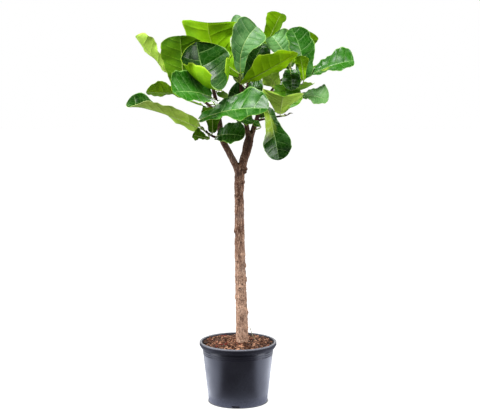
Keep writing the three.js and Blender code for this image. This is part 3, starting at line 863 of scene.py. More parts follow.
# --------------------------------------------------------------------------- leaves

EVENLY = (0, 0.03, 0.10, 0.24, 0.40, 0.55, 0.68, 0.80, 0.90, 0.97, 1)
LATE = (0, 0.04, 0.12, 0.28, 0.45, 0.62, 0.76, 0.87, 0.95, 0.985, 1)


class Outline(Enum):
    """A blade's half widths, as shares of the widest, at stations EVENLY along it or LATE, near its tip."""

    FIDDLE = EVENLY, (0.10, 0.26, 0.40, 0.43, 0.58, 0.84, 0.99, 0.97, 0.78, 0.42, 0.08)
    FAN = LATE, (0.08, 0.22, 0.32, 0.42, 0.62, 0.84, 0.97, 1, 0.85, 0.55, 0.20)
    ROUND = EVENLY, (0.22, 0.50, 0.74, 0.88, 0.96, 1, 0.98, 0.88, 0.68, 0.38, 0.08)
    HEART = EVENLY, (0.55, 0.74, 0.89, 0.98, 1, 0.98, 0.94, 0.85, 0.68, 0.38, 0.08)
    SHIELD = LATE, (0.08, 0.16, 0.24, 0.36, 0.51, 0.67, 0.81, 0.92, 1, 0.96, 0.66)
    LANCE = EVENLY, (0.10, 0.18, 0.28, 0.66, 0.98, 1, 0.88, 0.66, 0.42, 0.20, 0.05)
    OVAL = EVENLY, (0.12, 0.38, 0.58, 0.70, 0.84, 0.96, 1, 0.93, 0.73, 0.40, 0.08)

    def at(self, share: float) -> float:
        """Returns the smooth half width at a share of the length."""
        points = list(zip(*self.value))
        i = 0
        while i < len(points) - 2 and share > points[i + 1][0]:
            i += 1

        def slope(k: int) -> float:
            """Returns the outline's slope at one of its points."""
            before, after = points[max(k - 1, 0)], points[min(k + 1, len(points) - 1)]
            return (after[1] - before[1]) / (after[0] - before[0])

        (u0, w0), (u1, w1) = points[i], points[i + 1]
        step = u1 - u0
        s = (share - u0) / step
        rest = 1 - s
        return (w0 * rest * rest * (1 + 2 * s) + w1 * s * s * (3 - 2 * s)
                + step * s * rest * (slope(i) * rest - slope(i + 1) * s))


@dataclass
class Leaf:
    """One leaf: a thin blade with veins, quilting and a wavy margin, its midrib and its petiole."""

    name: str
    on: str
    at: float
    base: Point
    tip: Point
    width: float
    facing: tuple[float, float]
    outline: Outline = Outline.FIDDLE
    arch: float = 15
    sway: float = 0
    curl: tuple[float, float, float, float] = (15, 15, 15, 15)
    twist: float = 0
    wave: float = 5
    upper: Upper = Upper.DEEP
    under: Under = Under.LIME
    patch: tuple[float, float, float] | None = None

    MAP = "veins"
    PAIRS = 6
    VEIN_WIDTH = 0.0058
    THICKNESS = 0.8 * MM
    FOLD = 8
    ACROSS = (0, 0.03, 0.08, 0.16, 0.26, 0.37, 0.48, 0.59, 0.69, 0.78, 0.86, 0.93, 0.975, 1)
    WAVES, WAVE_GROWTH, WAVE_FADE = 2.6, 6, 8
    LOBE, LOBE_SPAN = 0.045, 0.09
    RAGGED, RAGGED_PITCH = 0.11, 5
    RIPPLE, RIPPLES = 2.2, 6.5
    UNEVEN, UNEVEN_PITCH = 6.0, 48
    SHEAR = 0.62
    GROOVE, GROOVE_DEPTH = 0.012, 0.7
    RIB, RIB_DEPTH = 0.05, 1.1
    FULL_WIDTH = 150
    STALK_SHARE, STALK_BEND, STALK_SIDES, STALK_STEPS = 0.341, 0.45, 8, 30
    STALK_RADII = 2.6, 2.1
    RIB_REACH, RIB_TAPER, RIB_SINK = 0.93, 0.85, (0.4, 1.5)

    def __post_init__(self) -> None:
        """Works out the midrib and the side that the blade faces."""
        self.start, self.end = Vector(self.base), Vector(self.tip)
        chord = self.end - self.start
        self.length = chord.length
        chord.normalize()
        up = direction(*self.facing)
        self.up = (up - chord * up.dot(chord)).normalized()
        right = chord.cross(self.up)
        self.bend = (self.start + self.end) / 2 + self.up * 2 * self.arch + right * 2 * self.sway
        self.ripple = random.Random(self.name).uniform(0, 6.28)

    def midrib(self, u: float) -> Vector:
        """Returns the midrib's point at a share of its length, in millimetres."""
        return self.start * (1 - u) ** 2 + self.bend * 2 * u * (1 - u) + self.end * u * u

    def along(self, u: float) -> Vector:
        """Returns the midrib's direction at a share of its length."""
        return ((self.bend - self.start) * (1 - u) + (self.end - self.bend) * u).normalized()

    def axes(self, u: float) -> tuple[Vector, Vector, Vector]:
        """Returns the directions along, across and out of the blade at a share of its length."""
        t = self.along(u)
        n = (self.up - t * self.up.dot(t)).normalized()
        n = Matrix.Rotation(math.radians(self.twist) * (u - 0.5), 3, t) @ n
        return t, t.cross(n), n

    def surface(self, u: float, v: float, lift: float = 0.0) -> Vector:
        """Gives a point of the blade's upper side.

        Args:
            u: share of the way from base to tip.
            v: share of the way from the midrib to the left margin, -1, or the right one, 1.
            lift: height added to the blade's own, in millimetres.

        Returns:
            The point, in metres.
        """
        t, side, n = self.axes(u)
        q = abs(v)
        near, far = self.curl[:2] if v < 0 else self.curl[2:]
        curl = math.radians(near + (far - near) * u) or 0.001
        fold = math.radians(self.FOLD)
        half, place = math.copysign(4, v), u * self.RAGGED_PITCH
        ragged = noise.noise(Vector((place, half, self.ripple)))
        ragged += 0.5 * noise.noise(Vector((3 * place, half, self.ripple + 9)))
        ragged *= min(1, (1 - u) * 12)
        width = self.width / 2 * self.outline.at(u) * (1 + self.RAGGED * ragged)
        out = width / curl * (math.sin(fold + curl * q) - math.sin(fold))
        rise = width / curl * (math.cos(fold) - math.cos(fold + curl * q))
        held = min(1, u * self.WAVE_GROWTH) * min(1, (1 - u) * self.WAVE_FADE)
        turn = 2 * math.pi * u
        wave = self.wave * q * q * math.sin(self.WAVES * turn + (2 if v < 0 else 0))
        ripple = self.RIPPLE * q ** 4 * math.sin(self.RIPPLES * turn + self.ripple + v + 2 * ragged)
        spot = Vector((u * self.length, v * self.width / 2, 0)) / self.UNEVEN_PITCH
        uneven = self.UNEVEN * min(1, 2 * q) * noise.noise(spot + Vector((0, 0, self.ripple)))
        rise += held * (wave + ripple + uneven)
        lobe = self.LOBE * self.length * q * q * math.exp(-u / self.LOBE_SPAN)
        return (self.midrib(u) + side * math.copysign(out, v) + n * (rise + lift) - t * lobe) * MM

    def lift(self, a: float, v: float) -> float:
        """Gives the quilting between the veins and the grooves along them.

        Args:
            a: where the vein that runs through this place leaves the midrib, as a share of the length.
            v: share of the way from the midrib to a margin, with its sign.

        Returns:
            The height, in millimetres.
        """
        size = min(self.width / self.FULL_WIDTH, 1.1)
        q = abs(v)
        foot = 0.25 if v > 0 else 0.75
        phase = (a * self.PAIRS - foot) % 1
        beside = min(phase, 1 - phase)
        dome = math.sin(math.pi * phase) ** 0.8 * math.sin(math.pi * min(1.0, 0.06 + 0.94 * q)) ** 0.7
        groove = max(0.0, 1 - beside / self.PAIRS / self.GROOVE)
        groove *= smooth(q, 0, 0.08) * (1 - smooth(q, 0.75, 1))
        rib = max(0.0, 1 - q / self.RIB)
        ends = min(1, a * 10, (1 - a) * 8)
        return size * ends * (dome - self.GROOVE_DEPTH * groove - self.RIB_DEPTH * rib)

    def rows(self) -> list[float]:
        """Returns where the grid's rows leave the midrib: on the veins, beside them and between them."""
        rows = []
        for k in range(4 * self.PAIRS + 1):
            a = k / (4 * self.PAIRS)
            rows += [a - self.GROOVE / 2, a, a + self.GROOVE / 2] if k % 2 else [a]
        return rows

    def build(self, finishes: Finishes) -> Piece:
        """Builds the leaf.

        Args:
            finishes: the materials.

        Returns:
            The piece, which stands for the leaf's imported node.
        """
        bm = bmesh.new()
        self._blade(bm)
        self._stalk(bm)
        materials = [finishes.of(f) for f in (self.upper.value, self.under.value, PETIOLE_FINISH)]
        return piece_from(bm, self.name.replace("leaf_", "blade_"), materials, [self.name])

    def _blade(self, bm: Mesh) -> None:
        """Adds the blade: a sheet whose rows follow the veins, given its thickness."""
        rows = self.rows()
        columns = [-v for v in self.ACROSS[:0:-1]] + list(self.ACROSS)
        bmesh.ops.create_grid(bm, x_segments=len(columns) - 1, y_segments=len(rows) - 1, size=1)
        leaf_map = bm.loops.layers.uv.new(self.MAP)
        patch_layer = bm.verts.layers.float.new("patch")
        places = {}
        for vert in bm.verts:
            v = columns[round((vert.co.x + 1) / 2 * (len(columns) - 1))]
            a = rows[round((vert.co.y + 1) / 2 * (len(rows) - 1))]
            q = abs(v)
            foot = a + 0.12 * a * (1 - a) * math.sin(9.5 * a + self.ripple + (1 if v < 0 else 0) * q)
            u = foot + self.SHEAR * foot * (1 - foot) * (0.7 * q + 0.3 * q * q)
            places[vert] = (0.5 + 0.5 * v, a)
            if self.patch:
                pu, pv, size = self.patch
                far = math.hypot((u - pu) * self.length, (v - pv) * self.width / 2) / size
                vert[patch_layer] = 1 - smooth(far + 0.35 * noise.noise(Vector((u, v, 0)) * 7), 0.35, 1)
            vert.co = self.surface(u, v, self.lift(a, v))
        top = list(bm.faces)
        for face in top:
            for loop in face.loops:
                loop[leaf_map].uv = places[loop.vert]
        bm.normal_update()
        made = bmesh.ops.solidify(bm, geom=top, thickness=self.THICKNESS)["geom"]
        lower = {g for g in made if isinstance(g, bmesh.types.BMFace)}
        upper = set(top)
        for face in bm.faces:
            face.material_index = 0 if face in upper else 1
        for edge in bm.edges:
            sides = {0 if f in upper else 1 if f in lower else 2 for f in edge.link_faces}
            edge.smooth = len(sides) == 1

    def _stalk(self, bm: Mesh) -> None:
        """Adds the petiole and the rib under the blade that it runs out into."""
        shoot = LIMBS[self.on].centre(self.at) / MM
        control = self.start - self.along(0) * self.STALK_BEND * (shoot - self.start).length
        joint = self.STALK_SHARE
        thick, thin = self.STALK_RADII

        def centre(share: float) -> Vector:
            """Returns the middle of the stalk, first outside the blade and then under its midrib."""
            if share < joint:
                t = share / joint
                return (shoot * (1 - t) ** 2 + control * 2 * t * (1 - t) + self.start * t * t) * MM
            u = (share - joint) / (1 - joint) * self.RIB_REACH
            sink = spread(self.RIB_SINK, min(1, u * 10))
            return (self.midrib(u) - self.axes(u)[2] * sink) * MM

        def radius(share: float) -> float:
            """Returns the stalk's radius: thick at its foot, tapering away towards the leaf's tip."""
            if share < joint:
                t = share / joint
                return (1 + 0.45 * (1 - smooth(t, 0, 0.16))) * (thick + (thin - thick) * t) * MM
            u = (share - joint) / (1 - joint)
            return thin * (1 - self.RIB_TAPER * u ** 0.7) * MM

        merge(bm, bar(centre, radius, self.STALK_SIDES, self.STALK_STEPS), 2)


F, R, O = Outline.FAN, Outline.ROUND, Outline.OVAL
H, S, L = Outline.HEART, Outline.SHIELD, Outline.LANCE
DEEP, FRESH, SHEENED, HEAVY_SHEEN, YOUNG = Upper.DEEP, Upper.FRESH, Upper.SHEENED, Upper.HEAVY_SHEEN, Upper.YOUNG
LIME, BRIGHT, OLIVE, PALE = Under.LIME, Under.BRIGHT, Under.OLIVE, Under.PALE
LEAVES: tuple[Leaf, ...] = (
    # left side
    Leaf("leaf_left_outer_top", "twig_left_back", 0.98, (-252, 134, 1285), (-404, 90, 1464), 120,
         (125, 30), F, arch=-5, curl=(20, 30, 20, 20), upper=FRESH, under=PALE),
    Leaf("leaf_left_broad", "twig_left_back", 0.72, (-215, 50, 1255), (-225, -10, 1460), 180,
         (180, 25), O, arch=12, curl=(15, 20, 15, 15), under=OLIVE),
    Leaf("leaf_left_front", "shoot_left", 0.45, (-100, -72, 1222), (-245, -180, 1245), 205,
         (-15, 45), R, curl=(10, 10, 25, 25), upper=FRESH),
    Leaf("leaf_left_front_cup", "shoot_left", 0.85, (-68, -172, 1252), (-160, -30, 1436), 300,
         (8, 54), H, arch=-66, curl=(120, 40, 120, 40)),
    Leaf("leaf_left_long", "twig_low_left", 0.97, (-158, -67, 1107), (-435, -40, 1195), 165,
         (180, 70), arch=12, curl=(20, 30, 10, 30), twist=-110, under=PALE),
    Leaf("leaf_left_back_low", "twig_left_back", 0.55, (-175, 150, 1215), (-370, 120, 1240), 120,
         (180, 60), arch=10, curl=(10, 10, 10, 10)),
    # crown
    Leaf("leaf_crown_left_broad", "shoot_centre", 0.97, (10, 32, 1312), (-118, 20, 1512), 240,
         (175, 25), S, arch=12, sway=40, curl=(10, 15, 10, 15), wave=9, upper=FRESH),
    Leaf("leaf_crown_front", "shoot_centre", 0.93, (10, -30, 1325), (74, -10, 1496), 152,
         (-5, 20), F, arch=10, sway=-22, curl=(35, 30, 30, 30), upper=SHEENED),
    Leaf("leaf_crown_back", "twig_back", 0.6, (25, 70, 1360), (-8, 92, 1545), 62,
         (0, 25), upper=SHEENED, under=PALE),
    Leaf("leaf_crown_right_tip", "twig_back", 0.95, (97, 112, 1385), (170, 70, 1550), 90,
         (200, 30), F, arch=5, curl=(15, 30, 15, 30), upper=FRESH),
    Leaf("leaf_crown_inner", "shoot_centre", 0.86, (36, 12, 1290), (102, 44, 1432), 110,
         (-15, 25)),
    Leaf("leaf_centre_shaded", "shoot_centre", 0.66, (30, 2, 1240), (98, -25, 1260), 90,
         (0, 40)),
    Leaf("leaf_centre_small", "shoot_centre", 0.5, (40, 20, 1194), (-34, -8, 1246), 95,
         (0, 30)),
    # right side
    Leaf("leaf_front_raised", "shoot_centre", 0.8, (22, -42, 1278), (225, -150, 1392), 140,
         (190, 60), L, arch=0, curl=(10, 10, 25, 25), upper=FRESH, under=BRIGHT),
    Leaf("leaf_right_upright", "shoot_right", 0.9, (254, -14, 1300), (208, 20, 1490), 125,
         (30, 20), O, arch=12, sway=10, curl=(20, 15, 10, 30), upper=FRESH),
    Leaf("leaf_right_young", "shoot_right", 0.82, (254, -54, 1292), (238, -74, 1382), 55,
         (170, 10), upper=FRESH),
    Leaf("leaf_right_outer", "shoot_right", 0.97, (275, 2, 1303), (450, -30, 1365), 150,
         (5, 55), F, arch=12, upper=FRESH, patch=(0.4, 0.3, 22)),
    Leaf("leaf_right_funnel", "twig_right_back", 0.8, (200, 40, 1362), (135, 62, 1460), 140,
         (-10, 40), O, curl=(60, 60, 60, 60), upper=HEAVY_SHEEN),
    Leaf("leaf_right_back_corner", "twig_right_back", 0.95, (215, 112, 1362), (285, 100, 1480), 100,
         (150, 40), F, upper=FRESH),
    Leaf("leaf_right_small_hanging", "shoot_right", 0.74, (204, -34, 1326), (207, -74, 1250), 84,
         (0, 20), O, arch=10, curl=(20, 50, 20, 50), under=OLIVE),
    Leaf("leaf_right_pale", "twig_right_back", 0.3, (160, 48, 1248), (112, 62, 1312), 85,
         (180, 30), upper=SHEENED, under=PALE),
    Leaf("leaf_right_low_inner", "shoot_right", 0.62, (184, -8, 1268), (190, -72, 1180), 135,
         (0, 30), O, arch=5, curl=(15, 20, 15, 20), upper=YOUNG),
    Leaf("leaf_right_low_cup", "twig_low_right", 0.78, (162, -100, 1162), (172, -155, 1228), 180,
         (180, 40), F, arch=5, curl=(25, 35, 25, 35), upper=SHEENED, under=PALE),
    Leaf("leaf_right_low_outer", "shoot_right", 0.68, (242, 22, 1222), (352, -20, 1210), 105,
         (0, 45), upper=HEAVY_SHEEN, under=PALE),
    Leaf("leaf_hanging", "shoot_right", 0.3, (115, -22, 1178), (160, -70, 980), 115,
         (15, 10), curl=(15, 10, 15, 10), patch=(0.3, 0.6, 70)),
    # low front
    Leaf("leaf_front_large", "twig_low_left", 0.72, (-142, -110, 1140), (115, -210, 1185), 165,
         (10, 42), sway=-10, curl=(15, 15, 15, 30), wave=8, upper=FRESH),
    Leaf("leaf_low_left_upright", "twig_low_left", 0.5, (-98, -62, 1088), (-100, -85, 1185), 95,
         (180, 15), under=OLIVE),
    Leaf("leaf_low_left_small", "twig_low_left", 0.6, (-116, -64, 1062), (-176, -72, 1078), 55,
         (180, 35), arch=5, under=OLIVE),
    Leaf("leaf_low_centre_round", "twig_low_left", 0.2, (-80, -58, 1074), (25, -112, 1075), 110,
         (0, 38), O, arch=12, curl=(15, 20, 15, 20)),
    Leaf("leaf_low_centre_small", "shoot_right", 0.12, (85, -30, 1112), (-8, -48, 1142), 75,
         (0, 50), arch=8),
    # back
    Leaf("leaf_back_left_high", "twig_left_back", 0.36, (-68, 82, 1268), (-92, 240, 1420), 150,
         (190, 40), F),
    Leaf("leaf_back_left_mid", "twig_left_back", 0.22, (-95, 86, 1194), (-205, 255, 1258), 150,
         (150, 50)),
    Leaf("leaf_back_left_outer", "twig_left_back", 0.82, (-232, 190, 1296), (-300, 325, 1362), 140,
         (200, 60)),
    Leaf("leaf_back_left_low", "twig_left_back", 0.1, (-98, 66, 1152), (-150, 262, 1180), 150,
         (190, 65)),
    Leaf("leaf_back_centre_high", "twig_back", 0.3, (18, 92, 1277), (-30, 252, 1414), 150,
         (200, 45)),
    Leaf("leaf_back_crown", "twig_back", 0.86, (66, 155, 1365), (50, 285, 1470), 140,
         (180, 45), F),
    Leaf("leaf_back_right_mid", "twig_back", 0.75, (106, 138, 1325), (185, 290, 1330), 140,
         (150, 60)),
    Leaf("leaf_back_centre_low", "shoot_centre", 0.56, (10, 65, 1210), (-35, 280, 1200), 150,
         (180, 70), O),
    Leaf("leaf_back_right_high", "twig_right_back", 0.88, (215, 160, 1342), (255, 305, 1420), 140,
         (170, 50), F),
    Leaf("leaf_back_right_outer", "shoot_right", 0.8, (238, 75, 1288), (278, 262, 1320), 140,
         (180, 70)),
    Leaf("leaf_back_right_low", "shoot_right", 0.56, (188, 68, 1245), (258, 245, 1245), 150,
         (160, 70)),
    Leaf("leaf_back_centre_right", "shoot_right", 0.35, (98, 72, 1186), (142, 268, 1192), 160,
         (170, 70)),
    Leaf("leaf_back_lowest", "shoot_right", 0.22, (95, 48, 1140), (170, 205, 1150), 120,
         (150, 60)),
)


# --------------------------------------------------------------------------- pot and mulch

@dataclass
class NurseryPot:
    """The round plastic pot: one moulded sheet from the floor, up the wall and over the lip."""

    wall: float = 2.0 * MM
    foot_round: float = 3.0 * MM
    lip_round: float = 4.0 * MM
    foot_radius: float = 119 * MM
    body_radius: float = 143 * MM
    lip_drop: float = 23 * MM
    lip_face: float = 13 * MM
    lip_taper: float = 6 * MM
    band_top: float = 33 * MM
    band_step: float = 1.0 * MM
    ribs: tuple[float, ...] = (196 * MM, 204 * MM, 212 * MM)
    rib_rise: float = 0.7 * MM
    slot_count: int = 4
    slot_width: float = 32 * MM
    slot_height: float = 9 * MM
    slot_reach: float = 12 * MM
    first_slot: float = 266.0
    turns: int = 144

    def __post_init__(self) -> None:
        """Takes the height and the lip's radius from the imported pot."""
        low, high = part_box("pot")
        self.height = high.z - low.z
        self.lip_radius = (high.x - low.x) / 2

    def wall_radius(self, z: float) -> float:
        """Returns the wall's outer radius at a height."""
        share = (z - self.foot_round) / (self.height - self.lip_drop - self.foot_round)
        return self.foot_radius + (self.body_radius - self.foot_radius) * share

    def profile(self) -> list[tuple[float, float]]:
        """Returns the sheet's inner side as (radius, height), from the floor's centre to the lip's edge."""
        wall, low = self.wall, self.wall
        foot = self.foot_radius
        points = [(0.0, low), (foot - self.slot_reach, low), (foot - wall - 2 * MM, low),
                  (foot - wall, low + 2 * MM)]
        band = self.band_top
        points += [(self.wall_radius(self.slot_height) - wall, self.slot_height),
                   (self.wall_radius(band - 1 * MM) - wall - self.band_step, band - 1 * MM),
                   (self.wall_radius(band + 1 * MM) - wall, band + 1 * MM)]
        for rib in self.ribs:
            for offset, rise in ((-2, 0), (-1, 0.8), (0, 1), (1, 0.8), (2, 0)):
                z = rib + offset * MM
                points.append((self.wall_radius(z) - wall + rise * self.rib_rise, z))
        top = self.height
        points += [(self.wall_radius(top - 9 * MM) - wall, top - 9 * MM),
                   (self.wall_radius(top) - wall + 1 * MM, top - 4 * MM),
                   (self.body_radius + 3 * MM, top - 1.2 * MM), (self.body_radius + 6 * MM, top)]
        for i in range(5):
            turn = math.radians(90 - 22.5 * i)
            points.append((self.lip_radius - self.lip_round * (1 - math.cos(turn)),
                           top - self.lip_round * (1 - math.sin(turn))))
        face_foot = top - self.lip_face
        return points + [(self.lip_radius, face_foot), (self.lip_radius - 1.5 * MM, face_foot - 2 * MM),
                         (self.lip_radius - self.lip_taper, top - self.lip_drop)]

    def build(self, finishes: Finishes) -> Piece:
        """Builds the pot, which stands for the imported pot."""
        bm = bmesh.new()
        verts = [bm.verts.new((r, 0, z)) for r, z in self.profile()]
        edges = [bm.edges.new(pair) for pair in zip(verts, verts[1:])]
        bmesh.ops.spin(bm, geom=verts + edges, cent=(0, 0, 0), axis=(0, 0, 1), angle=2 * math.pi,
                       steps=self.turns, use_merge=True, use_duplicate=False)
        bmesh.ops.remove_doubles(bm, verts=bm.verts, dist=0.01 * MM)
        bmesh.ops.delete(bm, geom=[f for f in bm.faces if self._in_slot(f)], context="FACES")
        bmesh.ops.recalc_face_normals(bm, faces=bm.faces)
        floor = min(bm.faces, key=lambda f: f.calc_center_median().xy.length)
        if floor.normal.z < 0:
            bmesh.ops.reverse_faces(bm, faces=bm.faces)
        bmesh.ops.solidify(bm, geom=bm.faces, thickness=self.wall)
        bmesh.ops.recalc_face_normals(bm, faces=bm.faces)
        for edge in bm.edges:
            edge.smooth = len(edge.link_faces) == 2 and edge.calc_face_angle() < math.radians(38)
        return piece_from(bm, "nursery_pot", [finishes.of(PlasticFinish())], ["pot"])

    def _in_slot(self, face: bmesh.types.BMFace) -> bool:
        """Tells whether a face lies where a drain slot is open."""
        centre = face.calc_center_median()
        inside = centre.xy.length < self.foot_radius - self.slot_reach
        if inside or not self.wall < centre.z < self.slot_height:
            return False
        half = 180 / self.slot_count
        azimuth = math.degrees(math.atan2(centre.y, centre.x))
        turn = (azimuth - self.first_slot + half) % (2 * half) - half
        return abs(math.radians(turn)) * self.foot_radius < self.slot_width / 2


@dataclass
class Mulch:
    """A thousand bark chips on their bed."""

    doublings: int = 10
    block_step: float = 2.0
    seed: int = 5
    bed_top: float = 234.5 * MM
    rim_gap: float = -1.5 * MM
    stem: Point = (17, 1, 0)
    stem_radius: float = 25 * MM
    lengths: tuple[float, float] = (7, 21)
    widths: tuple[float, float] = (4, 9)
    thicknesses: tuple[float, float] = (2.0, 4.5)
    heap: float = 3.0 * MM
    red_share: float = 0.035

    def build(self, finishes: Finishes) -> Piece:
        """Builds the mulch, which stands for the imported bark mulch."""
        low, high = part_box("bark_mulch")
        reach = (high.x - low.x) / 2 - self.rim_gap
        bm = self._blocks()
        tone = bm.verts.layers.float.new("tone")
        chips: dict[int, list[bmesh.types.BMVert]] = {}
        for v in bm.verts:
            chips.setdefault(round(v.co.x / self.block_step), []).append(v)
        rng = random.Random(self.seed)
        for i, verts in sorted(chips.items()):
            for v in verts:
                v.co.x -= i * self.block_step
            self._shape(verts, tone, rng, reach, math.sqrt((i + 0.5) / len(chips)))
        # The bed takes the darkest tone: painted shade in the gaps between the chips.
        bed = bmesh.new()
        bmesh.ops.create_cone(bed, cap_ends=True, segments=64, radius1=reach, radius2=reach,
                              depth=self.bed_top - low.z,
                              matrix=Matrix.Translation((0, 0, (self.bed_top + low.z) / 2)))
        merge(bm, bed)
        return piece_from(bm, "mulch_chips", [finishes.of(ChipFinish())], ["bark_mulch"],
                          smooth_faces=False)

    def _blocks(self) -> Mesh:
        """Returns a row of small blocks, one for each chip, made by doubling the row again and again."""
        bm = bmesh.new()
        bmesh.ops.create_cube(bm, size=1)
        bmesh.ops.subdivide_edges(bm, edges=bm.edges, cuts=1, use_grid_fill=True)
        for k in range(self.doublings):
            made = bmesh.ops.duplicate(bm, geom=list(bm.faces))["geom"]
            bmesh.ops.translate(bm, verts=[g for g in made if isinstance(g, bmesh.types.BMVert)],
                                vec=(self.block_step * 2 ** k, 0, 0))
        return bm

    def _shape(self, verts: list[bmesh.types.BMVert], tone: bmesh.types.BMLayerItem, rng: random.Random,
               reach: float, share: float) -> None:
        """Turns one block into a rough chip and lays it down.

        Args:
            verts: the block's vertices.
            tone: the layer that holds each chip's own tone.
            rng: the source of its chance values.
            reach: the radius that all the chips keep inside.
            share: how far out it lies, from 0 at the middle to 1 at the rim.
        """
        length, width, thick = (rng.uniform(*s) * MM for s in (self.lengths, self.widths, self.thicknesses))
        out = share * (reach - length * 0.45)
        angle = rng.uniform(0, 2 * math.pi)
        spot = Vector((out * math.cos(angle), out * math.sin(angle), 0))
        from_stem = spot - Vector(self.stem) * MM
        if from_stem.length < self.stem_radius + length * 0.3:
            spot += from_stem.normalized() * (self.stem_radius + length * 0.3 - from_stem.length)
        taper = rng.uniform(0.0, 0.45)
        bow = rng.uniform(-0.12, 0.18)
        for v in verts:
            x, y, z = v.co
            jitter = Vector([rng.uniform(-0.09, 0.09) for _ in range(3)])
            pinch = 1 - taper * (x + 0.5)
            v.co = Vector(((x + jitter.x) * length, (y * pinch + jitter.y) * width,
                           (z + jitter.z) * thick + bow * (0.25 - x * x) * length))
        turn = Euler((rng.gauss(0, 0.35), rng.gauss(0, 0.28), rng.uniform(0, 2 * math.pi))).to_matrix()
        spot.z = self.bed_top + thick * 0.3 + rng.uniform(0, 3.5) * MM + self.heap * (1 - share ** 3)
        own = 1.15 if rng.random() < self.red_share else rng.betavariate(0.75, 1.1) * 0.95
        for v in verts:
            v.co = turn @ v.co + spot
            v[tone] = own


@dataclass
class RootBall:
    """The potting mix, seen only through the drain slots and kept as packed."""

    node: str = "root_ball_soil"

    def dress(self, finishes: Finishes) -> None:
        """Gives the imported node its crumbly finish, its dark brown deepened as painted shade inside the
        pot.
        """
        material, graph, shader = new_material("potting_soil", Specular_IOR_Level=0.2, Roughness=0.95)
        tone = finishes.patterns.tone(graph, graph.place(), 90.0, 520.0)
        # Soil colours deepened as painted shade, so the drain slots read dark.
        colour = graph.paint(rgb(14, 9, 7), (tone["Broad"], rgb(36, 25, 18)),
                             (graph.times(tone["Fine"], 0.4), rgb(56, 40, 28)))
        graph.feed(shader, Base_Color=colour, Normal=graph.bump(tone["Fine"], 1.2 * MM))
        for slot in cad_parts[self.node].material_slots:
            slot.material = material
        log.info("%s: dressed as packed", self.node)


# --------------------------------------------------------------------------- small growth

@dataclass
class DryStalk:
    """A thin dry stalk that leans out of the mulch, with its joints and a frayed end."""

    path: tuple[Point, ...] = ((76, 24, 234.3), (61, 14, 260), (45, 3, 308))
    radii: tuple[float, ...] = (1.4, 1.2, 1.0)
    joints: tuple[float, ...] = (0.22, 0.55, 0.83)

    def build(self, finishes: Finishes) -> Piece:
        """Builds the stalk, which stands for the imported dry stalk."""
        def radius(share: float) -> float:
            """Returns the radius, with a swelling at each joint and a fine end."""
            knot = max(math.exp(-((share - joint) / 0.02) ** 2) for joint in self.joints)
            return (spread(self.radii, share) + 0.5 * knot) * (1 - 0.6 * smooth(share, 0.9, 1)) * MM

        bm = bar(Path(self.path).at, radius, 8, 60)
        return piece_from(bm, "straw_stalk", [finishes.of(STRAW_FINISH)], ["dry_stalk"])


@dataclass(frozen=True)
class Bract:
    """A narrow pointed scale: a dry sheath or the scale of a bud."""

    foot: Vector
    aim: Vector
    length: float
    width: float
    cup: float

    def sheet(self) -> Mesh:
        """Returns the scale's own mesh."""
        bm = bmesh.new()
        bmesh.ops.create_grid(bm, x_segments=4, y_segments=8, size=1)
        aim = self.aim.normalized()
        side = aim.cross(Vector((0, 0, 1))).normalized() if abs(aim.z) < 0.98 else Vector((1, 0, 0))
        out = side.cross(aim)
        for v in bm.verts:
            x, y = v.co.x, (v.co.y + 1) / 2
            half = self.width / 2 * (math.sin(math.pi * (0.16 + 0.84 * y) ** 0.8) * 0.98 + 0.02)
            bow = self.cup * (1 - x * x) * half * 0.8 + 0.10 * self.length * math.sin(math.pi * y)
            v.co = self.foot + aim * self.length * y + side * half * x + out * bow
        bm.normal_update()
        bmesh.ops.solidify(bm, geom=list(bm.faces), thickness=0.4 * MM)
        return bm


@dataclass
class Buds:
    """The buds at the shoots' ends, and the dry sheaths that stay at the leaves' feet."""

    seed: int = 9
    bud_length: float = 26 * MM
    bud_width: float = 9 * MM
    sheath_length: float = 15 * MM
    sheath_width: float = 6 * MM

    def build(self, finishes: Finishes) -> Piece:
        """Builds all the buds and sheaths as one piece."""
        bm = bmesh.new()
        rng = random.Random(self.seed)
        for name, limb in LIMBS.items():
            if not name.startswith(("shoot", "twig")):
                continue
            tip = limb.centre(0.97)
            aim = (limb.centre(1.0) - limb.centre(0.93)).normalized()
            for k in range(3):
                lean = direction(120 * k + rng.uniform(0, 40), 0) * 0.16
                length = self.bud_length * rng.uniform(0.8, 1.05)
                scale = Bract(tip - aim * 3 * MM, aim + lean, length, self.bud_width, 1.0)
                merge(bm, scale.sheet(), 0 if k else 1)
        for leaf in LEAVES:
            limb = LIMBS[leaf.on]
            foot = limb.centre(leaf.at)
            aim = (limb.centre(min(leaf.at + 0.04, 1)) - limb.centre(leaf.at - 0.04)).normalized()
            for _ in range(2):
                away = direction(rng.uniform(0, 360), rng.uniform(-20, 50))
                side = foot + away * limb.radius(leaf.at) * 0.8
                length = self.sheath_length * rng.uniform(0.6, 1.15)
                merge(bm, Bract(side, aim + away * 0.7, length, self.sheath_width, 0.8).sheet())
        self._pale_bud(bm)
        return piece_from(bm, "buds_and_sheaths", [finishes.of(SHEATH_FINISH), finishes.of(BUD_FINISH)])

    def _pale_bud(self, bm: Mesh) -> None:
        """Adds the one young bud that is opening, pale and low in the crown."""
        foot = LIMBS["shoot_centre"].centre(0.8)
        for k, (azimuth, height) in enumerate(((-70, 40), (-40, 62), (-100, 55), (10, 50))):
            side = foot + direction(azimuth, 0) * 6 * MM
            bract = Bract(side, direction(azimuth, height), (34 - 5 * k) * MM, 12 * MM, 1.0)
            merge(bm, bract.sheet(), 1)


# --------------------------------------------------------------------------- studio

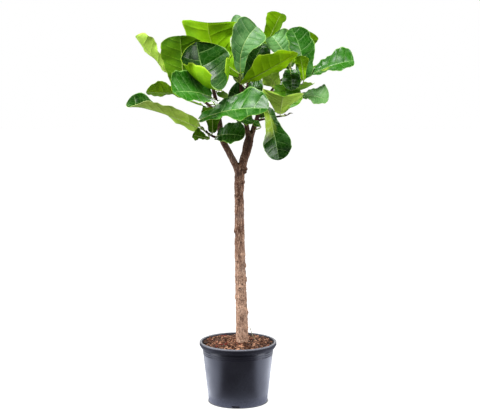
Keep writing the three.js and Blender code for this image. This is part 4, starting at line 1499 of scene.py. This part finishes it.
@dataclass
class Studio:
    """Plain pale floor, soft light and the camera."""

    floor_size: float = 40.0
    floor_level: float = -0.0005
    floor_gleam: float = 2.3
    gleam_colour: Colour = (0.80, 0.85, 1.0, 1.0)
    ambient: float = 0.12
    backdrop: float = 1.2
    backdrop_reach: tuple[float, float] = (0.3, 0.8)
    backdrop_height: tuple[float, float] = (0.35, 0.75)
    gleam_reach: tuple[float, float] = (0.42, 0.64)
    shade_edge: tuple[float, float] = (0.38, 0.85)
    shade_start: tuple[float, float] = (0.12, 0.18)
    foot_shadow: tuple[float, float] = (0.1175, 0.126)
    camera_place: Point = (0.008, -4.5, 1.34)
    camera_aim: Point = (0.008, 0.0, 0.776)
    lens: float = 85.65
    sensor: float = 36.0
    lights: tuple[tuple[str, Point, Point, tuple[float, float], float], ...] = (
        ("softbox_left", (-2.6, -0.5, 1.3), (0, 0, 0.9), (1.2, 2.6), 75),
        ("softbox_right", (2.6, -0.5, 1.3), (0, 0, 0.9), (1.2, 2.6), 75),
        ("softbox_top", (-0.9, -1.2, 3.4), (0, 0, 1.1), (1.4, 1.0), 120),
        ("softbox_back", (0.0, 2.8, 2.4), (0, 0, 1.2), (3.0, 1.6), 90),
    )

    def build(self) -> None:
        """Builds the floor, the lights, the world and the camera."""
        self._camera()
        self._floor()
        self._world()
        for name, place, aim, size, power in self.lights:
            data = bpy.data.lights.new(name, "AREA")
            data.shape = "RECTANGLE"
            data.size, data.size_y = size
            data.energy = power
            light = bpy.data.objects.new(name, data)
            light.location = place
            light.rotation_euler = (Vector(aim) - Vector(place)).to_track_quat("-Z", "Y").to_euler()
            bpy.context.scene.collection.objects.link(light)
        settings = bpy.context.scene.view_settings
        settings.view_transform = "Standard"
        settings.look = "None"
        log.info("studio: %d lights", len(self.lights))

    def _camera(self) -> None:
        """Sets the camera where the plant is seen from."""
        data = bpy.data.cameras.new("camera")
        data.lens, data.sensor_width = self.lens, self.sensor
        camera = bpy.data.objects.new("camera", data)
        camera.location = self.camera_place
        aim = Vector(self.camera_aim) - Vector(self.camera_place)
        camera.rotation_euler = aim.to_track_quat("-Z", "Y").to_euler()
        bpy.context.scene.collection.objects.link(camera)
        bpy.context.scene.camera = camera

    def _floor(self) -> None:
        """Lays the pale floor."""
        bm = bmesh.new()
        bmesh.ops.create_grid(bm, x_segments=1, y_segments=1, size=self.floor_size / 2,
                              matrix=Matrix.Translation((0, 0, self.floor_level)))
        mesh = bpy.data.meshes.new("floor")
        bm.to_mesh(mesh)
        bm.free()
        white = (1, 1, 1, 1)
        material, graph, shader = new_material("pale_floor", Roughness=1.0, Specular_IOR_Level=0.0,
                                               Base_Color=(0.16, 0.16, 0.16, 1), Emission_Color=white)
        path = graph.add("ShaderNodeLightPath").outputs
        x, y, _ = graph.split(graph.place())
        ahead = graph.math("ADD", graph.math("ABSOLUTE", x), 0.02)
        ahead = graph.math("DIVIDE", graph.times(y, -1.0), ahead)
        far = graph.math("SQRT", graph.times(x, x, graph.times(y, y)))
        shade = graph.times(graph.remap(ahead, *self.shade_edge), graph.remap(far, *self.shade_start))
        shade = graph.times(shade, -self.floor_gleam, self.floor_gleam)
        mirrored = graph.times(graph.times(path["Is Glossy Ray"], shade),
                               graph.remap(far, *self.gleam_reach, 1.0, 0.3))
        seen = graph.times(path["Is Camera Ray"], 0.92, 0.12)
        seen = graph.times(seen, graph.remap(far, *self.foot_shadow))
        graph.feed(shader, Emission_Strength=graph.math("ADD", seen, mirrored),
                   Emission_Color=graph.mix(path["Is Glossy Ray"], white, self.gleam_colour))
        mesh.materials.append(material)
        floor = bpy.data.objects.new("floor", mesh)
        bpy.context.scene.collection.objects.link(floor)

    def _world(self) -> None:
        """Sets a white backdrop, lit behind the plant, and dimmer light from the rest of the room."""
        world = bpy.data.worlds.new("studio_world")
        world.use_nodes = True
        bpy.context.scene.world = world
        graph = Graph(world.node_tree)
        path = graph.add("ShaderNodeLightPath").outputs
        _, depth, height = graph.split(graph.add("ShaderNodeTexCoord").outputs["Generated"])
        behind = graph.times(graph.remap(depth, *self.backdrop_reach),
                             graph.remap(height, *self.backdrop_height, 1.0, 0.0))
        mirrored = graph.times(graph.times(path["Is Glossy Ray"], behind), self.backdrop)
        room = graph.times(path["Is Diffuse Ray"], self.ambient, mirrored)
        back = world.node_tree.nodes["Background"]
        back.inputs["Color"].default_value = (1, 1, 1, 1)
        graph.feed(back, Strength=graph.math("ADD", path["Is Camera Ray"], room))


def main() -> None:
    """Builds the plant and its studio, in order."""
    logging.basicConfig(level=logging.INFO, format="%(name)s: %(message)s")
    Studio().build()
    finishes = Finishes()
    NurseryPot().build(finishes)
    RootBall().dress(finishes)
    Mulch().build(finishes)
    Wood().build(finishes)
    DryStalk().build(finishes)
    for leaf in LEAVES:
        leaf.build(finishes)
    Buds().build(finishes)


if __name__ == "__main__":
    main()
